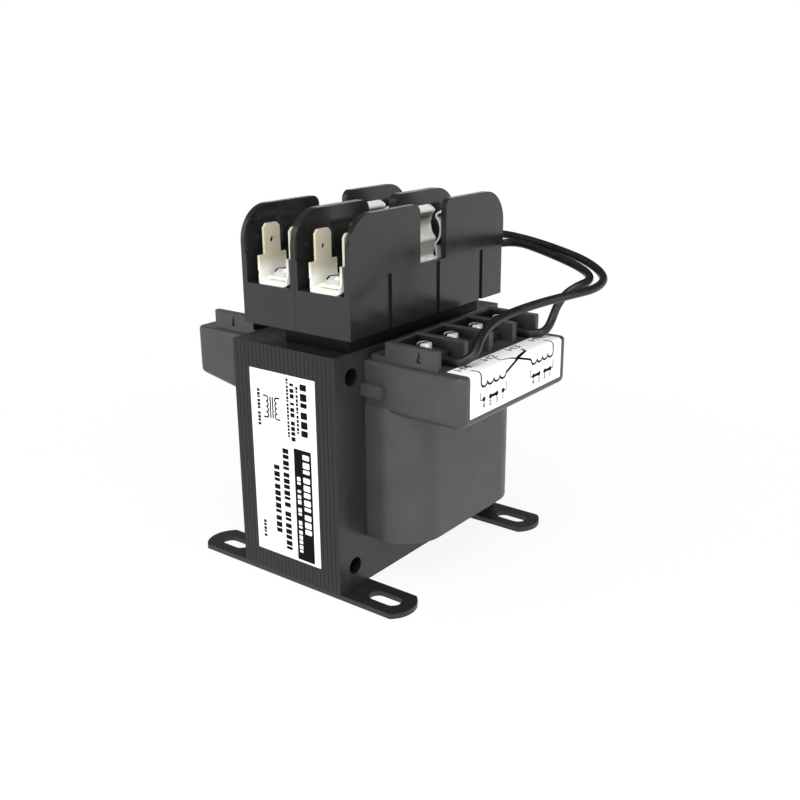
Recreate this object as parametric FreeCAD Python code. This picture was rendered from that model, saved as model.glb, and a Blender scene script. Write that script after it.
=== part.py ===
"""Control transformer on two mounting straps, with a two-pole fuse block on top of its core.

Millimetres, +Z up. The origin is the centre of the four mounting slots, on the mounting plane.
The labelled core edge faces -Y, the primary terminals are on the +X side.
"""
import FreeCAD, Part
import math
import os

Vec = FreeCAD.Vector

# Core: butt-stacked E and I laminations, stacked along X
STACK = 38.1                # stack build
LAM_W = 81.3                # lamination width, along Y
LEG = 13.55                 # outer leg and yoke width; the centre leg is twice this
CORE_H = 70.3               # core height
STRAP_T = 1.53              # mounting strap gauge, 16 gauge sheet
CORE_Z0 = STRAP_T
CORE_Z1 = CORE_Z0 + CORE_H
YOKE_Z = CORE_Z1 - LEG      # joint between the E stack and the I stack
HALF_X = STACK / 2
HALF_Y = LAM_W / 2
CORE_HOLE_R = 2.55          # lamination holes, centred in the corners
EDGE_PITCH = 1.5            # bundles of sheets that show on the core's edge
EDGE_DEPTH = 0.08
EDGE_GAP = 0.15

# Mounting straps
STRAP_W = 12.7
STRAP_CORNER = 36.5         # half length to the corner where the end arc starts
STRAP_TIP = 39.6            # half length at the tip of the end arc
SLOT_X = 30.15              # slot centre from the middle of the strap
STRAP_Y = 34.15             # strap centre from the core's middle
SLOT_L = 10.4
SLOT_W = 5.2

# Coil cover: one moulding with a bulge and a terminal shelf on each side of the core
BULGE_X = 36.3
BULGE_Y = 28.2
BULGE_R = 12.0
COVER_Z0 = 15.5
WINDOW_Y = 2 * LEG - 0.1    # cover half width inside the core window
SHELF_Y = 28.0
SHELF_TOP = 68.5
SHELF_R = 2.2               # upright corners and lower edges of the shelves
SHELF_TOP_R = 1.0           # upper edges of the shelves
PRI_SHELF = (51.3, 54.1, 54.1)  # tip X, underside Z at the tip, underside Z at the bulge
SEC_SHELF = (48.8, 53.3, 51.0)
LUG = (26.1, 1.9, 58.9, 62.3)   # locking lug on the shelf's front: end X, depth, bottom Z, top Z

# Windings inside the cover
BOBBIN_T = 1.0
CAVITY_X = 34.2
CAVITY_Y = 25.4
CAVITY_R = 9.0
FLANGE_T = 1.1
SECONDARY_BUILD = (6.0, 4.6)    # along X and along Y
INSULATION_T = 0.4
PRIMARY_BUILD = (7.0, 5.2)

# Terminal blocks
BAY_PITCH = 12.7
BAY_COUNT = 4
BARRIER_T = 2.1
BARRIER_TOP = 74.3
BARRIER_CHAMFER = 0.3
RIB_T = 1.6                 # rib that joins the barriers on the core's side
RIB_TOP = 73.9
BLOCK_IN = 25.1             # inner face of the barriers, from the core's middle
PRI_BLOCK_OUT = 42.4
SEC_BLOCK_OUT = 41.7
PRI_NOTCH_X = 36.4          # three-sided recess in the outward faces of the end barriers
SEC_NOTCH_X = 33.5
NOTCH = (0.8, 0.4, 70.2, 73.5)  # half width at the bottom, depth, bottom Z, top Z
PLATFORM_OUT = 37.5
PLATFORM_TOP = 70.9
FOOT_IN = 20.3
FOOT_TOP = 70.2
SCREW_X = 32.9
CLAMP_T = 0.9
CLAMP_W = 8.0
CLAMP_FRONT_T = 0.8
SCREW_HEAD_R = 3.1
SCREW_HEAD_H = 1.8
SCREW_R = 1.6
SCREW_SLOT = (1.0, 0.8)     # width and depth of the driver slot

# Fuse block
POLE_PITCH = 19.9
FUSE_Y = 3.4                # centre of the fuses
FUSE_HALF_L = 38.0
FUSE_Z0 = 75.2
FUSE_FLOOR = 87.0
SILL_Z = 91.2               # bottom of the finger gaps
WALL_TOP = 108.4
WALL_OUT_T = 1.9
WALL_IN_T = 1.4
GAP_HALF = 6.4              # half width of the finger gap in each wall
WALL_R = 10.0
GAP_R = 2.7
RECESS = (1.9, 0.5, 95.2, 104.0)    # marker recess in a wall's inner face: width, depth, bottom Z, top Z
SEAM = 0.2                  # chamfer where the two poles meet at the front and the rear
SKIRT = 0.4                 # the sides below the sill stand back by this much
SIDE_GROOVES = (-20.2, 2.9, 26.0)   # from the fuse centre
SIDE_GROOVE_W = 1.8
SIDE_GROOVE_D = 0.7
MOUNT_HOLE_Y = 5.2          # block mounting holes, each side of the fuse centre
SPACER = (-4.0, 18.9, -34.5, 25.0)  # spacer strip between core and block: X limits and Y limits
SPACER_R = 9.0              # rounded rear corners of the spacer strip

# Metal of the fuse block
POLE_X = 9.7                # middle of each pole's trough
PLATE_T = 0.8
TERMINAL_X = 0.4            # the terminals stand this far to +X of the trough's middle
TERMINAL_Y = 30.85          # screws, from the fuse centre
CHANNEL_HALF_W = 5.9        # outer half width of the folded terminal
CHANNEL_FRONT = 5.45        # front edge of the side walls, from the screw
CHANNEL_LIP = 6.75          # front edge of the base, from the screw
CHANNEL_TOP = 94.7
CHANNEL_R = 2.4             # rounded front corners of the base
SWEEP = (1.2, 3.4)          # the walls' front edge curves out to the lip between these heights
BEND_R = 1.0                # sheet metal bends, on the middle of the sheet
TAB_W = 6.35
TAB_TOP = 103.3
TAB_CHAMFER = 1.1
TAB_STEP = 1.0              # the +X tab stands this much further out than the -X tab
TAB_HOLE_Z = 98.6
TAB_HOLE_R = 0.85
STRIP_HALF_W = 4.0
PRESSURE_PLATE = (3.9, 3.8, 1.1)    # half width, half length, thickness
CLIP_GAP = 10.1             # from the fuse centre to a clip's inner end
CLIP_L = 10.0
FUSE_R = 5.15               # 13/32 inch midget fuse
FUSE_Z = 98.5               # axis of the fuses
CLIP_T = 0.7
CLIP_FOOT = 4.75            # half width of a clip's base
CLIP_REACH = 0.78           # from the grip's corner in to the waist and the neck, as a share of its radius
CLIP_BENDS = (0.6, 0.9)     # bend radii at the neck and the waist
CLIP_TIP = (6.1, 105.4)     # half width and height of a clip's flared mouth
RIVET_R = 1.2

# Leads: 18 gauge hook-up wire from the rear of the fuse block to terminals 4 and 1
LEAD_D = 2.5
LEAD_END_X = PLATFORM_OUT + CLAMP_FRONT_T
RING_TURN = 25.0            # ring terminals are turned towards the primary side
BARREL_START = 5.1          # crimp barrel, from the screw
BARREL_END = 7.4
BARREL_R = 1.7
BARREL_Z = FUSE_FLOOR + PLATE_T + BARREL_R + 0.05
ROUTE_H4 = [
    (-4.5, 43.9, 89.6), (-0.8, 47.5, 90.2), (5.2, 50.2, 91.2), (13.5, 51.0, 91.8),
    (24.5, 49.6, 91.0), (36.5, 47.6, 89.4), (48.5, 45.2, 87.2),
    (57.0, 40.0, 84.7), (58.7, 31.5, 83.1), (54.6, 22.3, 82.2), (49.2, 13.2, 80.7),
    (45.5, 4.2, 79.1), (44.8, -4.4, 77.7), (45.8, -11.2, 75.4), (46.9, -14.4, 73.2),
    (46.9, -16.2, 71.9), (46.0, -17.9, 70.7), (43.9, -18.9, 70.0), (41.1, -19.05, 69.9),
    (38.3, -19.05, 69.9),
]
ROUTE_H1 = [
    (14.5, 43.9, 89.6), (18.0, 46.8, 90.0), (23.2, 47.3, 90.0), (29.5, 46.4, 89.0),
    (38.0, 44.7, 87.5), (46.2, 42.8, 86.0), (51.4, 40.2, 84.8), (53.5, 36.3, 83.8),
    (51.7, 32.4, 82.8), (49.2, 29.6, 80.6), (47.7, 27.6, 77.3), (47.3, 25.9, 73.9),
    (47.4, 23.4, 71.4), (46.6, 20.9, 70.1), (44.1, 19.3, 69.9), (41.1, 19.05, 69.9),
    (38.3, 19.05, 69.9),
]

# Labels
LABEL_T = 0.15
FRONT_LABEL = (-12.8, 11.9, 7.9, 64.3)      # X and Z limits
PRI_LABEL_Y = 24.2
PRI_LABEL_IN = 44.0
PRI_LABEL_Z = 56.7


def box(x0, x1, y0, y1, z0, z1):
    """Box between two corners, in any order along X."""
    low_x, high_x = sorted((x0, x1))
    return Part.makeBox(high_x - low_x, y1 - y0, z1 - z0, Vec(low_x, y0, z0))


def round_rect(half_x, half_y, radius, z0, z1, centre=(0.0, 0.0)):
    """Upright prism with rounded upright edges."""
    cx, cy = centre
    block = box(cx - half_x, cx + half_x, cy - half_y, cy + half_y, z0, z1)
    uprights = [e for e in block.Edges if abs(e.tangentAt(e.FirstParameter).z) > 0.9]
    return block.makeFillet(radius, uprights)


def cylinder(radius, start, direction, length):
    """Cylinder from a start point along a direction."""
    return Part.makeCylinder(radius, length, Vec(*start), Vec(*direction))


def fuse_all(shapes):
    """One solid from shapes that touch or overlap."""
    return shapes[0].multiFuse(shapes[1:]).removeSplitter()


def mirror_x(shape):
    """Copy mirrored in the core's middle plane, left to right."""
    return shape.mirror(Vec(0, 0, 0), Vec(1, 0, 0))


def yz_prism(edges, x0, x1):
    """Prism along X from a closed outline in the YZ plane, drawn at x = 0."""
    face = Part.Face(Part.Wire(edges))
    solid = face.extrude(Vec(x1 - x0, 0, 0))
    solid.translate(Vec(x0, 0, 0))
    return solid


def save(node, shape):
    """Write one sub-part."""
    shape.exportStep("parts/%s.step" % node)
    print("%-26s %9.1f mm3  %s" % (node, shape.Volume, "valid" if shape.isValid() else "INVALID"))


def edge_grooves(stack):
    """Cut the shallow lines between bundles of sheets round a lamination stack's outer edge."""
    count = int(STACK / EDGE_PITCH)
    ring = box(0, EDGE_GAP, -HALF_Y, HALF_Y, CORE_Z0, CORE_Z1)
    inner = box(-1, EDGE_GAP + 1, EDGE_DEPTH - HALF_Y, HALF_Y - EDGE_DEPTH,
                CORE_Z0 + EDGE_DEPTH, CORE_Z1 - EDGE_DEPTH)
    ring = ring.cut(inner)
    grooves = []
    for i in range(1, count):
        groove = ring.copy()
        groove.translate(Vec(-HALF_X + i * STACK / count - EDGE_GAP / 2, 0, 0))
        grooves.append(groove)
    return stack.cut(Part.makeCompound(grooves))


def core_hole(y, z):
    """Cutter for one lamination hole."""
    return cylinder(CORE_HOLE_R, (-HALF_X - 1, y, z), (1, 0, 0), STACK + 2)


def make_core():
    """E stack with its three legs up, and the I stack that closes it."""
    hole_y = HALF_Y - LEG / 2
    e_stack = box(-HALF_X, HALF_X, -HALF_Y, HALF_Y, CORE_Z0, YOKE_Z)
    for side in (-1, 1):
        middle = side * 1.5 * LEG
        window = box(-HALF_X - 1, HALF_X + 1, middle - LEG / 2, middle + LEG / 2, CORE_Z0 + LEG, YOKE_Z + 1)
        e_stack = e_stack.cut(window).cut(core_hole(side * hole_y, CORE_Z0 + LEG / 2))
    i_stack = box(-HALF_X, HALF_X, -HALF_Y, HALF_Y, YOKE_Z, CORE_Z1)
    for side in (-1, 1):
        i_stack = i_stack.cut(core_hole(side * hole_y, CORE_Z1 - LEG / 2))
    save("e_laminations", edge_grooves(e_stack))
    save("i_laminations", edge_grooves(i_stack))


def make_strap(name, y):
    """Flat steel strap with arched ends and a slot near each end."""
    half_w = STRAP_W / 2
    corners = [Vec(sx * STRAP_CORNER, y + sy * half_w, 0) for sx, sy in ((-1, -1), (1, -1), (1, 1), (-1, 1))]
    edges = [
        Part.LineSegment(corners[0], corners[1]).toShape(),
        Part.Arc(corners[1], Vec(STRAP_TIP, y, 0), corners[2]).toShape(),
        Part.LineSegment(corners[2], corners[3]).toShape(),
        Part.Arc(corners[3], Vec(-STRAP_TIP, y, 0), corners[0]).toShape(),
    ]
    strap = Part.Face(Part.Wire(edges)).extrude(Vec(0, 0, STRAP_T))
    for side in (-1, 1):
        slot_half = SLOT_L / 2 - SLOT_W / 2
        cx = side * SLOT_X
        slot = box(cx - slot_half, cx + slot_half, y - SLOT_W / 2, y + SLOT_W / 2, -1, STRAP_T + 1)
        for end in (-1, 1):
            slot = slot.fuse(cylinder(SLOT_W / 2, (cx + end * slot_half, y, -1), (0, 0, 1), STRAP_T + 2))
        strap = strap.cut(slot)
    save(name, strap)


def across(direction):
    """Direction in the XZ plane at a right angle to the given one."""
    return Vec(-direction.z, 0, direction.x)


def strip_section(points, radii, thickness):
    """Section of a bent strip in the XZ plane, from its middle line's points and bend radii."""
    line = [Vec(px, 0, pz) for px, pz in points]
    runs = [(b - a).normalize() for a, b in zip(line, line[1:])]
    half = thickness / 2
    edges = [Part.LineSegment(line[i] + across(runs[i]) * half, line[i] - across(runs[i]) * half).toShape()
             for i in (0, -1)]
    for shift in (half, -half):
        start = line[0] + across(runs[0]) * shift
        for corner, before, after, radius in zip(line[1:], runs, runs[1:], radii):
            half_turn = before.getAngle(after) / 2
            trim = radius * math.tan(half_turn)
            inward = (after - before).normalize()
            centre = corner + inward * (radius / math.cos(half_turn))
            enter = corner - before * trim + across(before) * shift
            leave = corner + after * trim + across(after) * shift
            edges.append(Part.LineSegment(start, enter).toShape())
            edges.append(Part.Arc(enter, centre - inward * (enter - centre).Length, leave).toShape())
            start = leave
        edges.append(Part.LineSegment(start, line[-1] + across(runs[-1]) * shift).toShape())
    return Part.Face(Part.Wire(Part.sortEdges(edges)[0]))


def shelf(tip_x, tip_z, root_z):
    """Terminal shelf on the +X side; its underside may fall towards the core."""
    slope = (tip_z - root_z) / (tip_x - BULGE_X)
    low = tip_z - slope * (tip_x - HALF_X)
    outline = [Vec(HALF_X, -SHELF_Y, low), Vec(tip_x, -SHELF_Y, tip_z), Vec(tip_x, -SHELF_Y, SHELF_TOP),
               Vec(HALF_X, -SHELF_Y, SHELF_TOP)]
    rim = Part.Face(Part.makePolygon(outline + outline[:1])).extrude(Vec(0, 2 * SHELF_Y, 0))
    uprights = [e for e in rim.Edges if e.BoundBox.XMin > tip_x - 0.01 and e.BoundBox.ZLength > 1]
    rim = rim.makeFillet(SHELF_R + 0.1, uprights)
    free = [e for e in rim.Edges if e.BoundBox.XMax > HALF_X + 0.01]
    upper = [e for e in free if e.BoundBox.ZMin > SHELF_TOP - 0.01]
    lower = [e for e in free if e.BoundBox.ZMax < tip_z + 0.01]
    return rim.makeFillet(SHELF_TOP_R, upper).makeFillet(SHELF_R, lower)


def make_cover():
    """Moulded coil cover: bulges, shelves and the lugs that bear on the core's sides."""
    window = box(-HALF_X, HALF_X, -WINDOW_Y, WINDOW_Y, COVER_Z0, YOKE_Z - 0.2)
    bulge = round_rect(BULGE_X, BULGE_Y, BULGE_R, COVER_Z0, PRI_SHELF[1] + 2)
    core_space = box(-HALF_X, HALF_X, -HALF_Y, HALF_Y, 0, CORE_Z1)
    cover = bulge.cut(core_space)
    cover = cover.fuse(shelf(*PRI_SHELF)).fuse(mirror_x(shelf(*SEC_SHELF)))
    cover = cover.fuse(window)
    end_x, depth, low, high = LUG
    for side in (-1, 1):
        cover = cover.fuse(box(side * HALF_X, side * end_x, -SHELF_Y - depth, -SHELF_Y + 1, low, high))
    cavity = round_rect(CAVITY_X, CAVITY_Y, CAVITY_R, COVER_Z0 - 1, YOKE_Z - 1.4)
    leg = box(-HALF_X - 0.1, HALF_X + 0.1, -LEG - 0.1, LEG + 0.1, COVER_Z0, YOKE_Z)
    cover = cover.cut(cavity).cut(leg).removeSplitter()
    save("coil_cover", cover)


def ring(half_x, half_y, radius, hole_x, hole_y, hole_r, z0, z1):
    """Rounded rectangular ring round the centre leg."""
    return round_rect(half_x, half_y, radius, z0, z1).cut(round_rect(hole_x, hole_y, hole_r, z0 - 1, z1 + 1))


def make_windings():
    """Bobbin on the centre leg with the secondary, the insulation and the primary round it."""
    z0 = COVER_Z0
    z1 = YOKE_Z - 1.5
    in_x = HALF_X
    in_y = LEG
    x = in_x + BOBBIN_T
    y = in_y + BOBBIN_T
    corner = 1.0
    bobbin = round_rect(x, y, corner, z0, z1)
    for low in (z0, z1 - FLANGE_T):
        bobbin = bobbin.fuse(round_rect(CAVITY_X - 0.1, CAVITY_Y - 0.1, CAVITY_R, low, low + FLANGE_T))
    bobbin = bobbin.cut(box(-in_x, in_x, -in_y, in_y, z0 - 1, z1 + 1))
    save("winding_bobbin", bobbin)
    low = z0 + FLANGE_T
    high = z1 - FLANGE_T
    layers = (("secondary_winding", SECONDARY_BUILD), ("winding_insulation", (INSULATION_T, INSULATION_T)),
              ("primary_winding", PRIMARY_BUILD))
    for name, build in layers:
        outer = (x + build[0], y + build[1], corner + min(build))
        save(name, ring(outer[0], outer[1], outer[2], x, y, corner, low, high))
        x, y, corner = outer


def bay_centres():
    """Y of each terminal bay."""
    first = -(BAY_COUNT - 1) / 2 * BAY_PITCH
    return [first + i * BAY_PITCH for i in range(BAY_COUNT)]


def end_notch(x, half_l):
    """Cutter for the three-sided recesses in the outward faces of both end barriers."""
    half_w, depth, low, high = NOTCH
    outline = [Vec(x - half_w, 0, low), Vec(x + half_w, 0, low), Vec(x, 0, high)]
    face = Part.Face(Part.makePolygon(outline + outline[:1]))
    cutters = []
    for start in (-half_l - 1, half_l - depth):
        cutter = face.extrude(Vec(0, 1 + depth, 0))
        cutter.translate(Vec(0, start, 0))
        cutters.append(cutter)
    return Part.makeCompound(cutters)


def make_terminal_block(name, outer_x, notch_x, side):
    """Moulded barrier strip: platform, back rib, five barriers and a foot beside the core."""
    half_l = BAY_COUNT / 2 * BAY_PITCH + BARRIER_T / 2
    parts = [
        box(BLOCK_IN, PLATFORM_OUT, -half_l, half_l, SHELF_TOP, PLATFORM_TOP),
        box(BLOCK_IN, BLOCK_IN + RIB_T, -half_l, half_l, SHELF_TOP, RIB_TOP),
        box(FOOT_IN, BLOCK_IN + 0.2, -half_l, half_l, SHELF_TOP, FOOT_TOP),
    ]
    for i in range(BAY_COUNT + 1):
        y = (i - BAY_COUNT / 2) * BAY_PITCH
        barrier = box(BLOCK_IN, outer_x, y - BARRIER_T / 2, y + BARRIER_T / 2, SHELF_TOP, BARRIER_TOP)
        rim = [e for e in barrier.Edges if e.CenterOfMass.z > BARRIER_TOP - 0.01]
        rim += [e for e in barrier.Edges if e.BoundBox.XMin > outer_x - 0.01 and e.BoundBox.ZLength > 1]
        parts.append(barrier.makeChamfer(BARRIER_CHAMFER, rim))
    block = fuse_all(parts).cut(end_notch(notch_x, half_l))
    for y in bay_centres():
        block = block.cut(cylinder(SCREW_R + 0.15, (SCREW_X, y, SHELF_TOP - 1), (0, 0, 1), 5))
    save(name, block if side > 0 else mirror_x(block))


def wire_clamp(y):
    """Bent plate clamp: a flat top under the screw head and a jaw down the platform's front."""
    top = box(SCREW_X - 4.2, LEAD_END_X, y - CLAMP_W / 2, y + CLAMP_W / 2, PLATFORM_TOP, PLATFORM_TOP + CLAMP_T)
    jaw = box(PLATFORM_OUT, LEAD_END_X, y - 2.6, y + 2.6, SHELF_TOP + 0.1, PLATFORM_TOP + CLAMP_T)
    return top.fuse(jaw).cut(cylinder(SCREW_R + 0.15, (SCREW_X, y, SHELF_TOP - 1), (0, 0, 1), 6)).removeSplitter()


def slotted_screw(x, y, seat_z, head_r, head_h, shank_r, shank_l, slot, angle=0.0):
    """Pan head screw standing on its seat, with a straight driver slot."""
    head = cylinder(head_r, (x, y, seat_z), (0, 0, 1), head_h)
    rim = [e for e in head.Edges if abs(e.BoundBox.ZMin - seat_z - head_h) < 1e-6 and e.BoundBox.ZLength < 1e-6]
    head = head.makeChamfer(head_h * 0.35, rim)
    cut = box(x - head_r - 1, x + head_r + 1, y - slot[0] / 2, y + slot[0] / 2,
              seat_z + head_h - slot[1], seat_z + head_h + 1)
    cut.rotate(Vec(x, y, 0), Vec(0, 0, 1), angle)
    return head.cut(cut).fuse(cylinder(shank_r, (x, y, seat_z - shank_l), (0, 0, 1), shank_l))


def make_terminals():
    """Clamps and screws: all four primary bays, and the two end bays of the secondary."""
    seat = PLATFORM_TOP + CLAMP_T
    for side, prefix, fitted in ((1, "primary", (0, 1, 2, 3)), (-1, "secondary", (0, 3))):
        screws = []
        for number, bay in enumerate(fitted):
            y = bay_centres()[bay]
            clamp = wire_clamp(y)
            screw = slotted_screw(SCREW_X, y, seat, SCREW_HEAD_R, SCREW_HEAD_H, SCREW_R, 3.0,
                                  SCREW_SLOT, 25.0 + 70.0 * bay)
            if side < 0:
                clamp = mirror_x(clamp)
                screw = mirror_x(screw)
            save("%s_clamp_%d" % (prefix, number + 1), clamp)
            screws.append(screw)
        save("%s_terminal_screws" % prefix, Part.makeCompound(screws))


def wall_profile():
    """Outline of a fuse block wall in the YZ plane: two plates joined below the finger gap."""
    y0 = FUSE_Y - FUSE_HALF_L
    y1 = FUSE_Y + FUSE_HALF_L
    g0 = FUSE_Y - GAP_HALF
    g1 = FUSE_Y + GAP_HALF
    top = WALL_TOP
    diag = 1 - math.sqrt(0.5)

    def v(y, z):
        return Vec(0, y, z)

    def line(a, b):
        return Part.LineSegment(v(*a), v(*b)).toShape()

    def arc(a, m, b):
        return Part.Arc(v(*a), v(*m), v(*b)).toShape()

    big = WALL_R * diag
    small = GAP_R * diag
    return [
        line((y0, FUSE_Z0), (y0, top - WALL_R)),
        arc((y0, top - WALL_R), (y0 + big, top - big), (y0 + WALL_R, top)),
        line((y0 + WALL_R, top), (g0 - GAP_R, top)),
        arc((g0 - GAP_R, top), (g0 - small, top - small), (g0, top - GAP_R)),
        line((g0, top - GAP_R), (g0, SILL_Z)),
        line((g0, SILL_Z), (g1, SILL_Z)),
        line((g1, SILL_Z), (g1, top - GAP_R)),
        arc((g1, top - GAP_R), (g1 + small, top - small), (g1 + GAP_R, top)),
        line((g1 + GAP_R, top), (y1 - WALL_R, top)),
        arc((y1 - WALL_R, top), (y1 - big, top - big), (y1, top - WALL_R)),
        line((y1, top - WALL_R), (y1, FUSE_Z0)),
        line((y1, FUSE_Z0), (y0, FUSE_Z0)),
    ]


def marker_recess(x0, x1, front):
    """Cutter along a wall's inner edge at its front or rear, following the rounded corner."""
    width, depth, low, high = RECESS
    y0 = FUSE_Y - FUSE_HALF_L
    arc_y = y0 + WALL_R
    arc_z = WALL_TOP - WALL_R
    keep = box(x0 - 1, x1 + 1, y0 + width, arc_y + 1, low - 2, arc_z)
    keep = keep.fuse(cylinder(WALL_R - width, (x0 - 1, arc_y, arc_z), (1, 0, 0), x1 - x0 + 2))
    cutter = box(x0, x1, y0 - 1, arc_y, low, high).cut(keep)
    return cutter if front else cutter.mirror(Vec(0, FUSE_Y, 0), Vec(0, 1, 0))


def make_pole(name, side):
    """One pole of the fuse block, built on the +X side; the other is its mirror image."""
    x1 = POLE_PITCH
    y0 = FUSE_Y - FUSE_HALF_L
    y1 = FUSE_Y + FUSE_HALF_L
    depth = RECESS[1]
    body = box(0, x1, y0, y1, FUSE_Z0, FUSE_FLOOR)
    body = body.fuse(yz_prism(wall_profile(), 0, WALL_IN_T))
    body = body.fuse(yz_prism(wall_profile(), x1 - WALL_OUT_T, x1))
    for front in (True, False):
        body = body.cut(marker_recess(WALL_IN_T - depth, WALL_IN_T + 1, front))
        body = body.cut(marker_recess(x1 - WALL_OUT_T - 1, x1 - WALL_OUT_T + depth, front))
    for y in (y0, y1):
        seam = box(-SEAM, SEAM, y - SEAM, y + SEAM, FUSE_Z0 - 1, WALL_TOP)
        seam.rotate(Vec(0, y, 0), Vec(0, 0, 1), 45)
        body = body.cut(seam)
    skirt = box(x1 - SKIRT, x1 + 1, y0 + 1.2, y1 + 1, FUSE_Z0 - 1, SILL_Z)
    body = body.cut(skirt)
    for y in SIDE_GROOVES:
        middle = FUSE_Y + y
        body = body.cut(box(x1 - SKIRT - SIDE_GROOVE_D, x1 + 1, middle - SIDE_GROOVE_W / 2,
                            middle + SIDE_GROOVE_W / 2, FUSE_Z0 - 1, SILL_Z - 0.4))
    for y in (FUSE_Y - MOUNT_HOLE_Y, FUSE_Y + MOUNT_HOLE_Y):
        body = body.cut(cylinder(2.2, (POLE_X, y, FUSE_Z0 - 1), (0, 0, 1), FUSE_FLOOR - FUSE_Z0 + 2))
        body = body.cut(cylinder(3.9, (POLE_X, y, FUSE_FLOOR - 3.0), (0, 0, 1), 4))
    for sign in (-1, 1):
        screw_y = FUSE_Y + sign * TERMINAL_Y
        clip_y = FUSE_Y + sign * (CLIP_GAP + CLIP_L / 2)
        body = body.cut(cylinder(1.9, (POLE_X + side * TERMINAL_X, screw_y, FUSE_FLOOR - 7), (0, 0, 1), 8))
        body = body.cut(cylinder(RIVET_R + 0.05, (POLE_X, clip_y, FUSE_FLOOR - 4), (0, 0, 1), 5))
    body = body.removeSplitter()
    save(name, body if side > 0 else mirror_x(body))


def make_spacer():
    """Spacer strip between the core and the fuse block, and the two screws that hold the block."""
    x0, x1, y0, y1 = SPACER
    strip = box(x0, x1, y0, y1, CORE_Z1, FUSE_Z0)
    rear = [e for e in strip.Edges
            if abs(e.tangentAt(e.FirstParameter).z) > 0.9 and e.BoundBox.YMin > y1 - 1]
    strip = strip.makeFillet(SPACER_R, rear)
    screws = []
    seat = FUSE_FLOOR - 3.0
    for number, y in enumerate((FUSE_Y - MOUNT_HOLE_Y, FUSE_Y + MOUNT_HOLE_Y)):
        strip = strip.cut(cylinder(1.8, (POLE_X, y, CORE_Z1 - 1), (0, 0, 1), 6))
        screws.append(slotted_screw(POLE_X, y, seat, 3.4, 2.4, 1.7, seat - CORE_Z1 - 0.3, (1.1, 0.9),
                                    20.0 + 50.0 * number))
    save("fuse_block_spacer", strip)
    save("fuse_block_screws", Part.makeCompound(screws))


def wall_trim(x, y, tab_y):
    """Keeps one side wall of a folded terminal: curved front edge, shoulder and push-on tab."""
    z = FUSE_FLOOR
    low, high = SWEEP
    front = y - CHANNEL_FRONT
    lip = y - CHANNEL_LIP
    half = TAB_W / 2
    c = TAB_CHAMFER
    bend = Vec(x, front - 0.25 * (front - lip), z + low + 0.35 * (high - low))
    corners = [(front, z + high), (front, CHANNEL_TOP), (tab_y - half, CHANNEL_TOP), (tab_y - half, TAB_TOP - c),
               (tab_y - half + c, TAB_TOP), (tab_y + half - c, TAB_TOP), (tab_y + half, TAB_TOP - c),
               (tab_y + half, CHANNEL_TOP), (y + CHANNEL_FRONT, CHANNEL_TOP), (y + CHANNEL_FRONT, z),
               (lip, z), (lip, z + low)]
    points = [Vec(x, *corner) for corner in corners]
    edges = [Part.LineSegment(a, b).toShape() for a, b in zip(points, points[1:])]
    edges.append(Part.Arc(points[-1], bend, points[0]).toShape())
    return Part.Face(Part.Wire(edges))


def front_terminal(x):
    """Folded terminal: base under the screw and the clip, a side wall each side with a push-on tab."""
    y = FUSE_Y - TERMINAL_Y
    z = FUSE_FLOOR
    w = CHANNEL_HALF_W - PLATE_T / 2
    mid = z + PLATE_T / 2
    line = [(x - w, TAB_TOP), (x - w, mid), (x + w, mid), (x + w, TAB_TOP)]
    channel = strip_section(line, (BEND_R, BEND_R), PLATE_T).extrude(Vec(0, CHANNEL_LIP + CHANNEL_FRONT, 0))
    channel.translate(Vec(0, y - CHANNEL_LIP, 0))
    left = wall_trim(x - CHANNEL_HALF_W - 1, y, y).extrude(Vec(CHANNEL_HALF_W + 1, 0, 0))
    right = wall_trim(x, y, y - TAB_STEP).extrude(Vec(CHANNEL_HALF_W + 1, 0, 0))
    piece = channel.common(left.fuse(right))
    rounded = round_rect(CHANNEL_HALF_W, CHANNEL_LIP, CHANNEL_R, z - 1, z + SWEEP[1], (x, y))
    piece = piece.cut(box(x - 9, x + 9, y - 9, y, z - 1, z + SWEEP[1]).cut(rounded))
    strip_end = FUSE_Y - CLIP_GAP
    pole_x = x - TERMINAL_X
    piece = piece.fuse(box(pole_x - STRIP_HALF_W, pole_x + STRIP_HALF_W, y, strip_end, z, z + PLATE_T))
    for wall_x, tab_y in ((x - CHANNEL_HALF_W - 1, y), (x + 1, y - TAB_STEP)):
        piece = piece.cut(cylinder(TAB_HOLE_R, (wall_x, tab_y, TAB_HOLE_Z), (1, 0, 0), CHANNEL_HALF_W))
    piece = piece.cut(cylinder(1.9, (x, y, z - 1), (0, 0, 1), 3))
    piece = piece.cut(cylinder(RIVET_R + 0.05, (pole_x, strip_end - CLIP_L / 2, z - 1), (0, 0, 1), 3))
    return piece.removeSplitter()


def pressure_plate(x, y, seat):
    """Square clamp plate under a terminal screw, raised at its edges."""
    half_w, half_l, thickness = PRESSURE_PLATE
    plate = box(x - half_w, x + half_w, y - half_l, y + half_l, seat + 0.3, seat + thickness)
    plate = plate.fuse(cylinder(3.2, (x, y, seat), (0, 0, 1), 0.5))
    return plate.cut(cylinder(1.9, (x, y, seat - 1), (0, 0, 1), 4)).removeSplitter()


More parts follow.
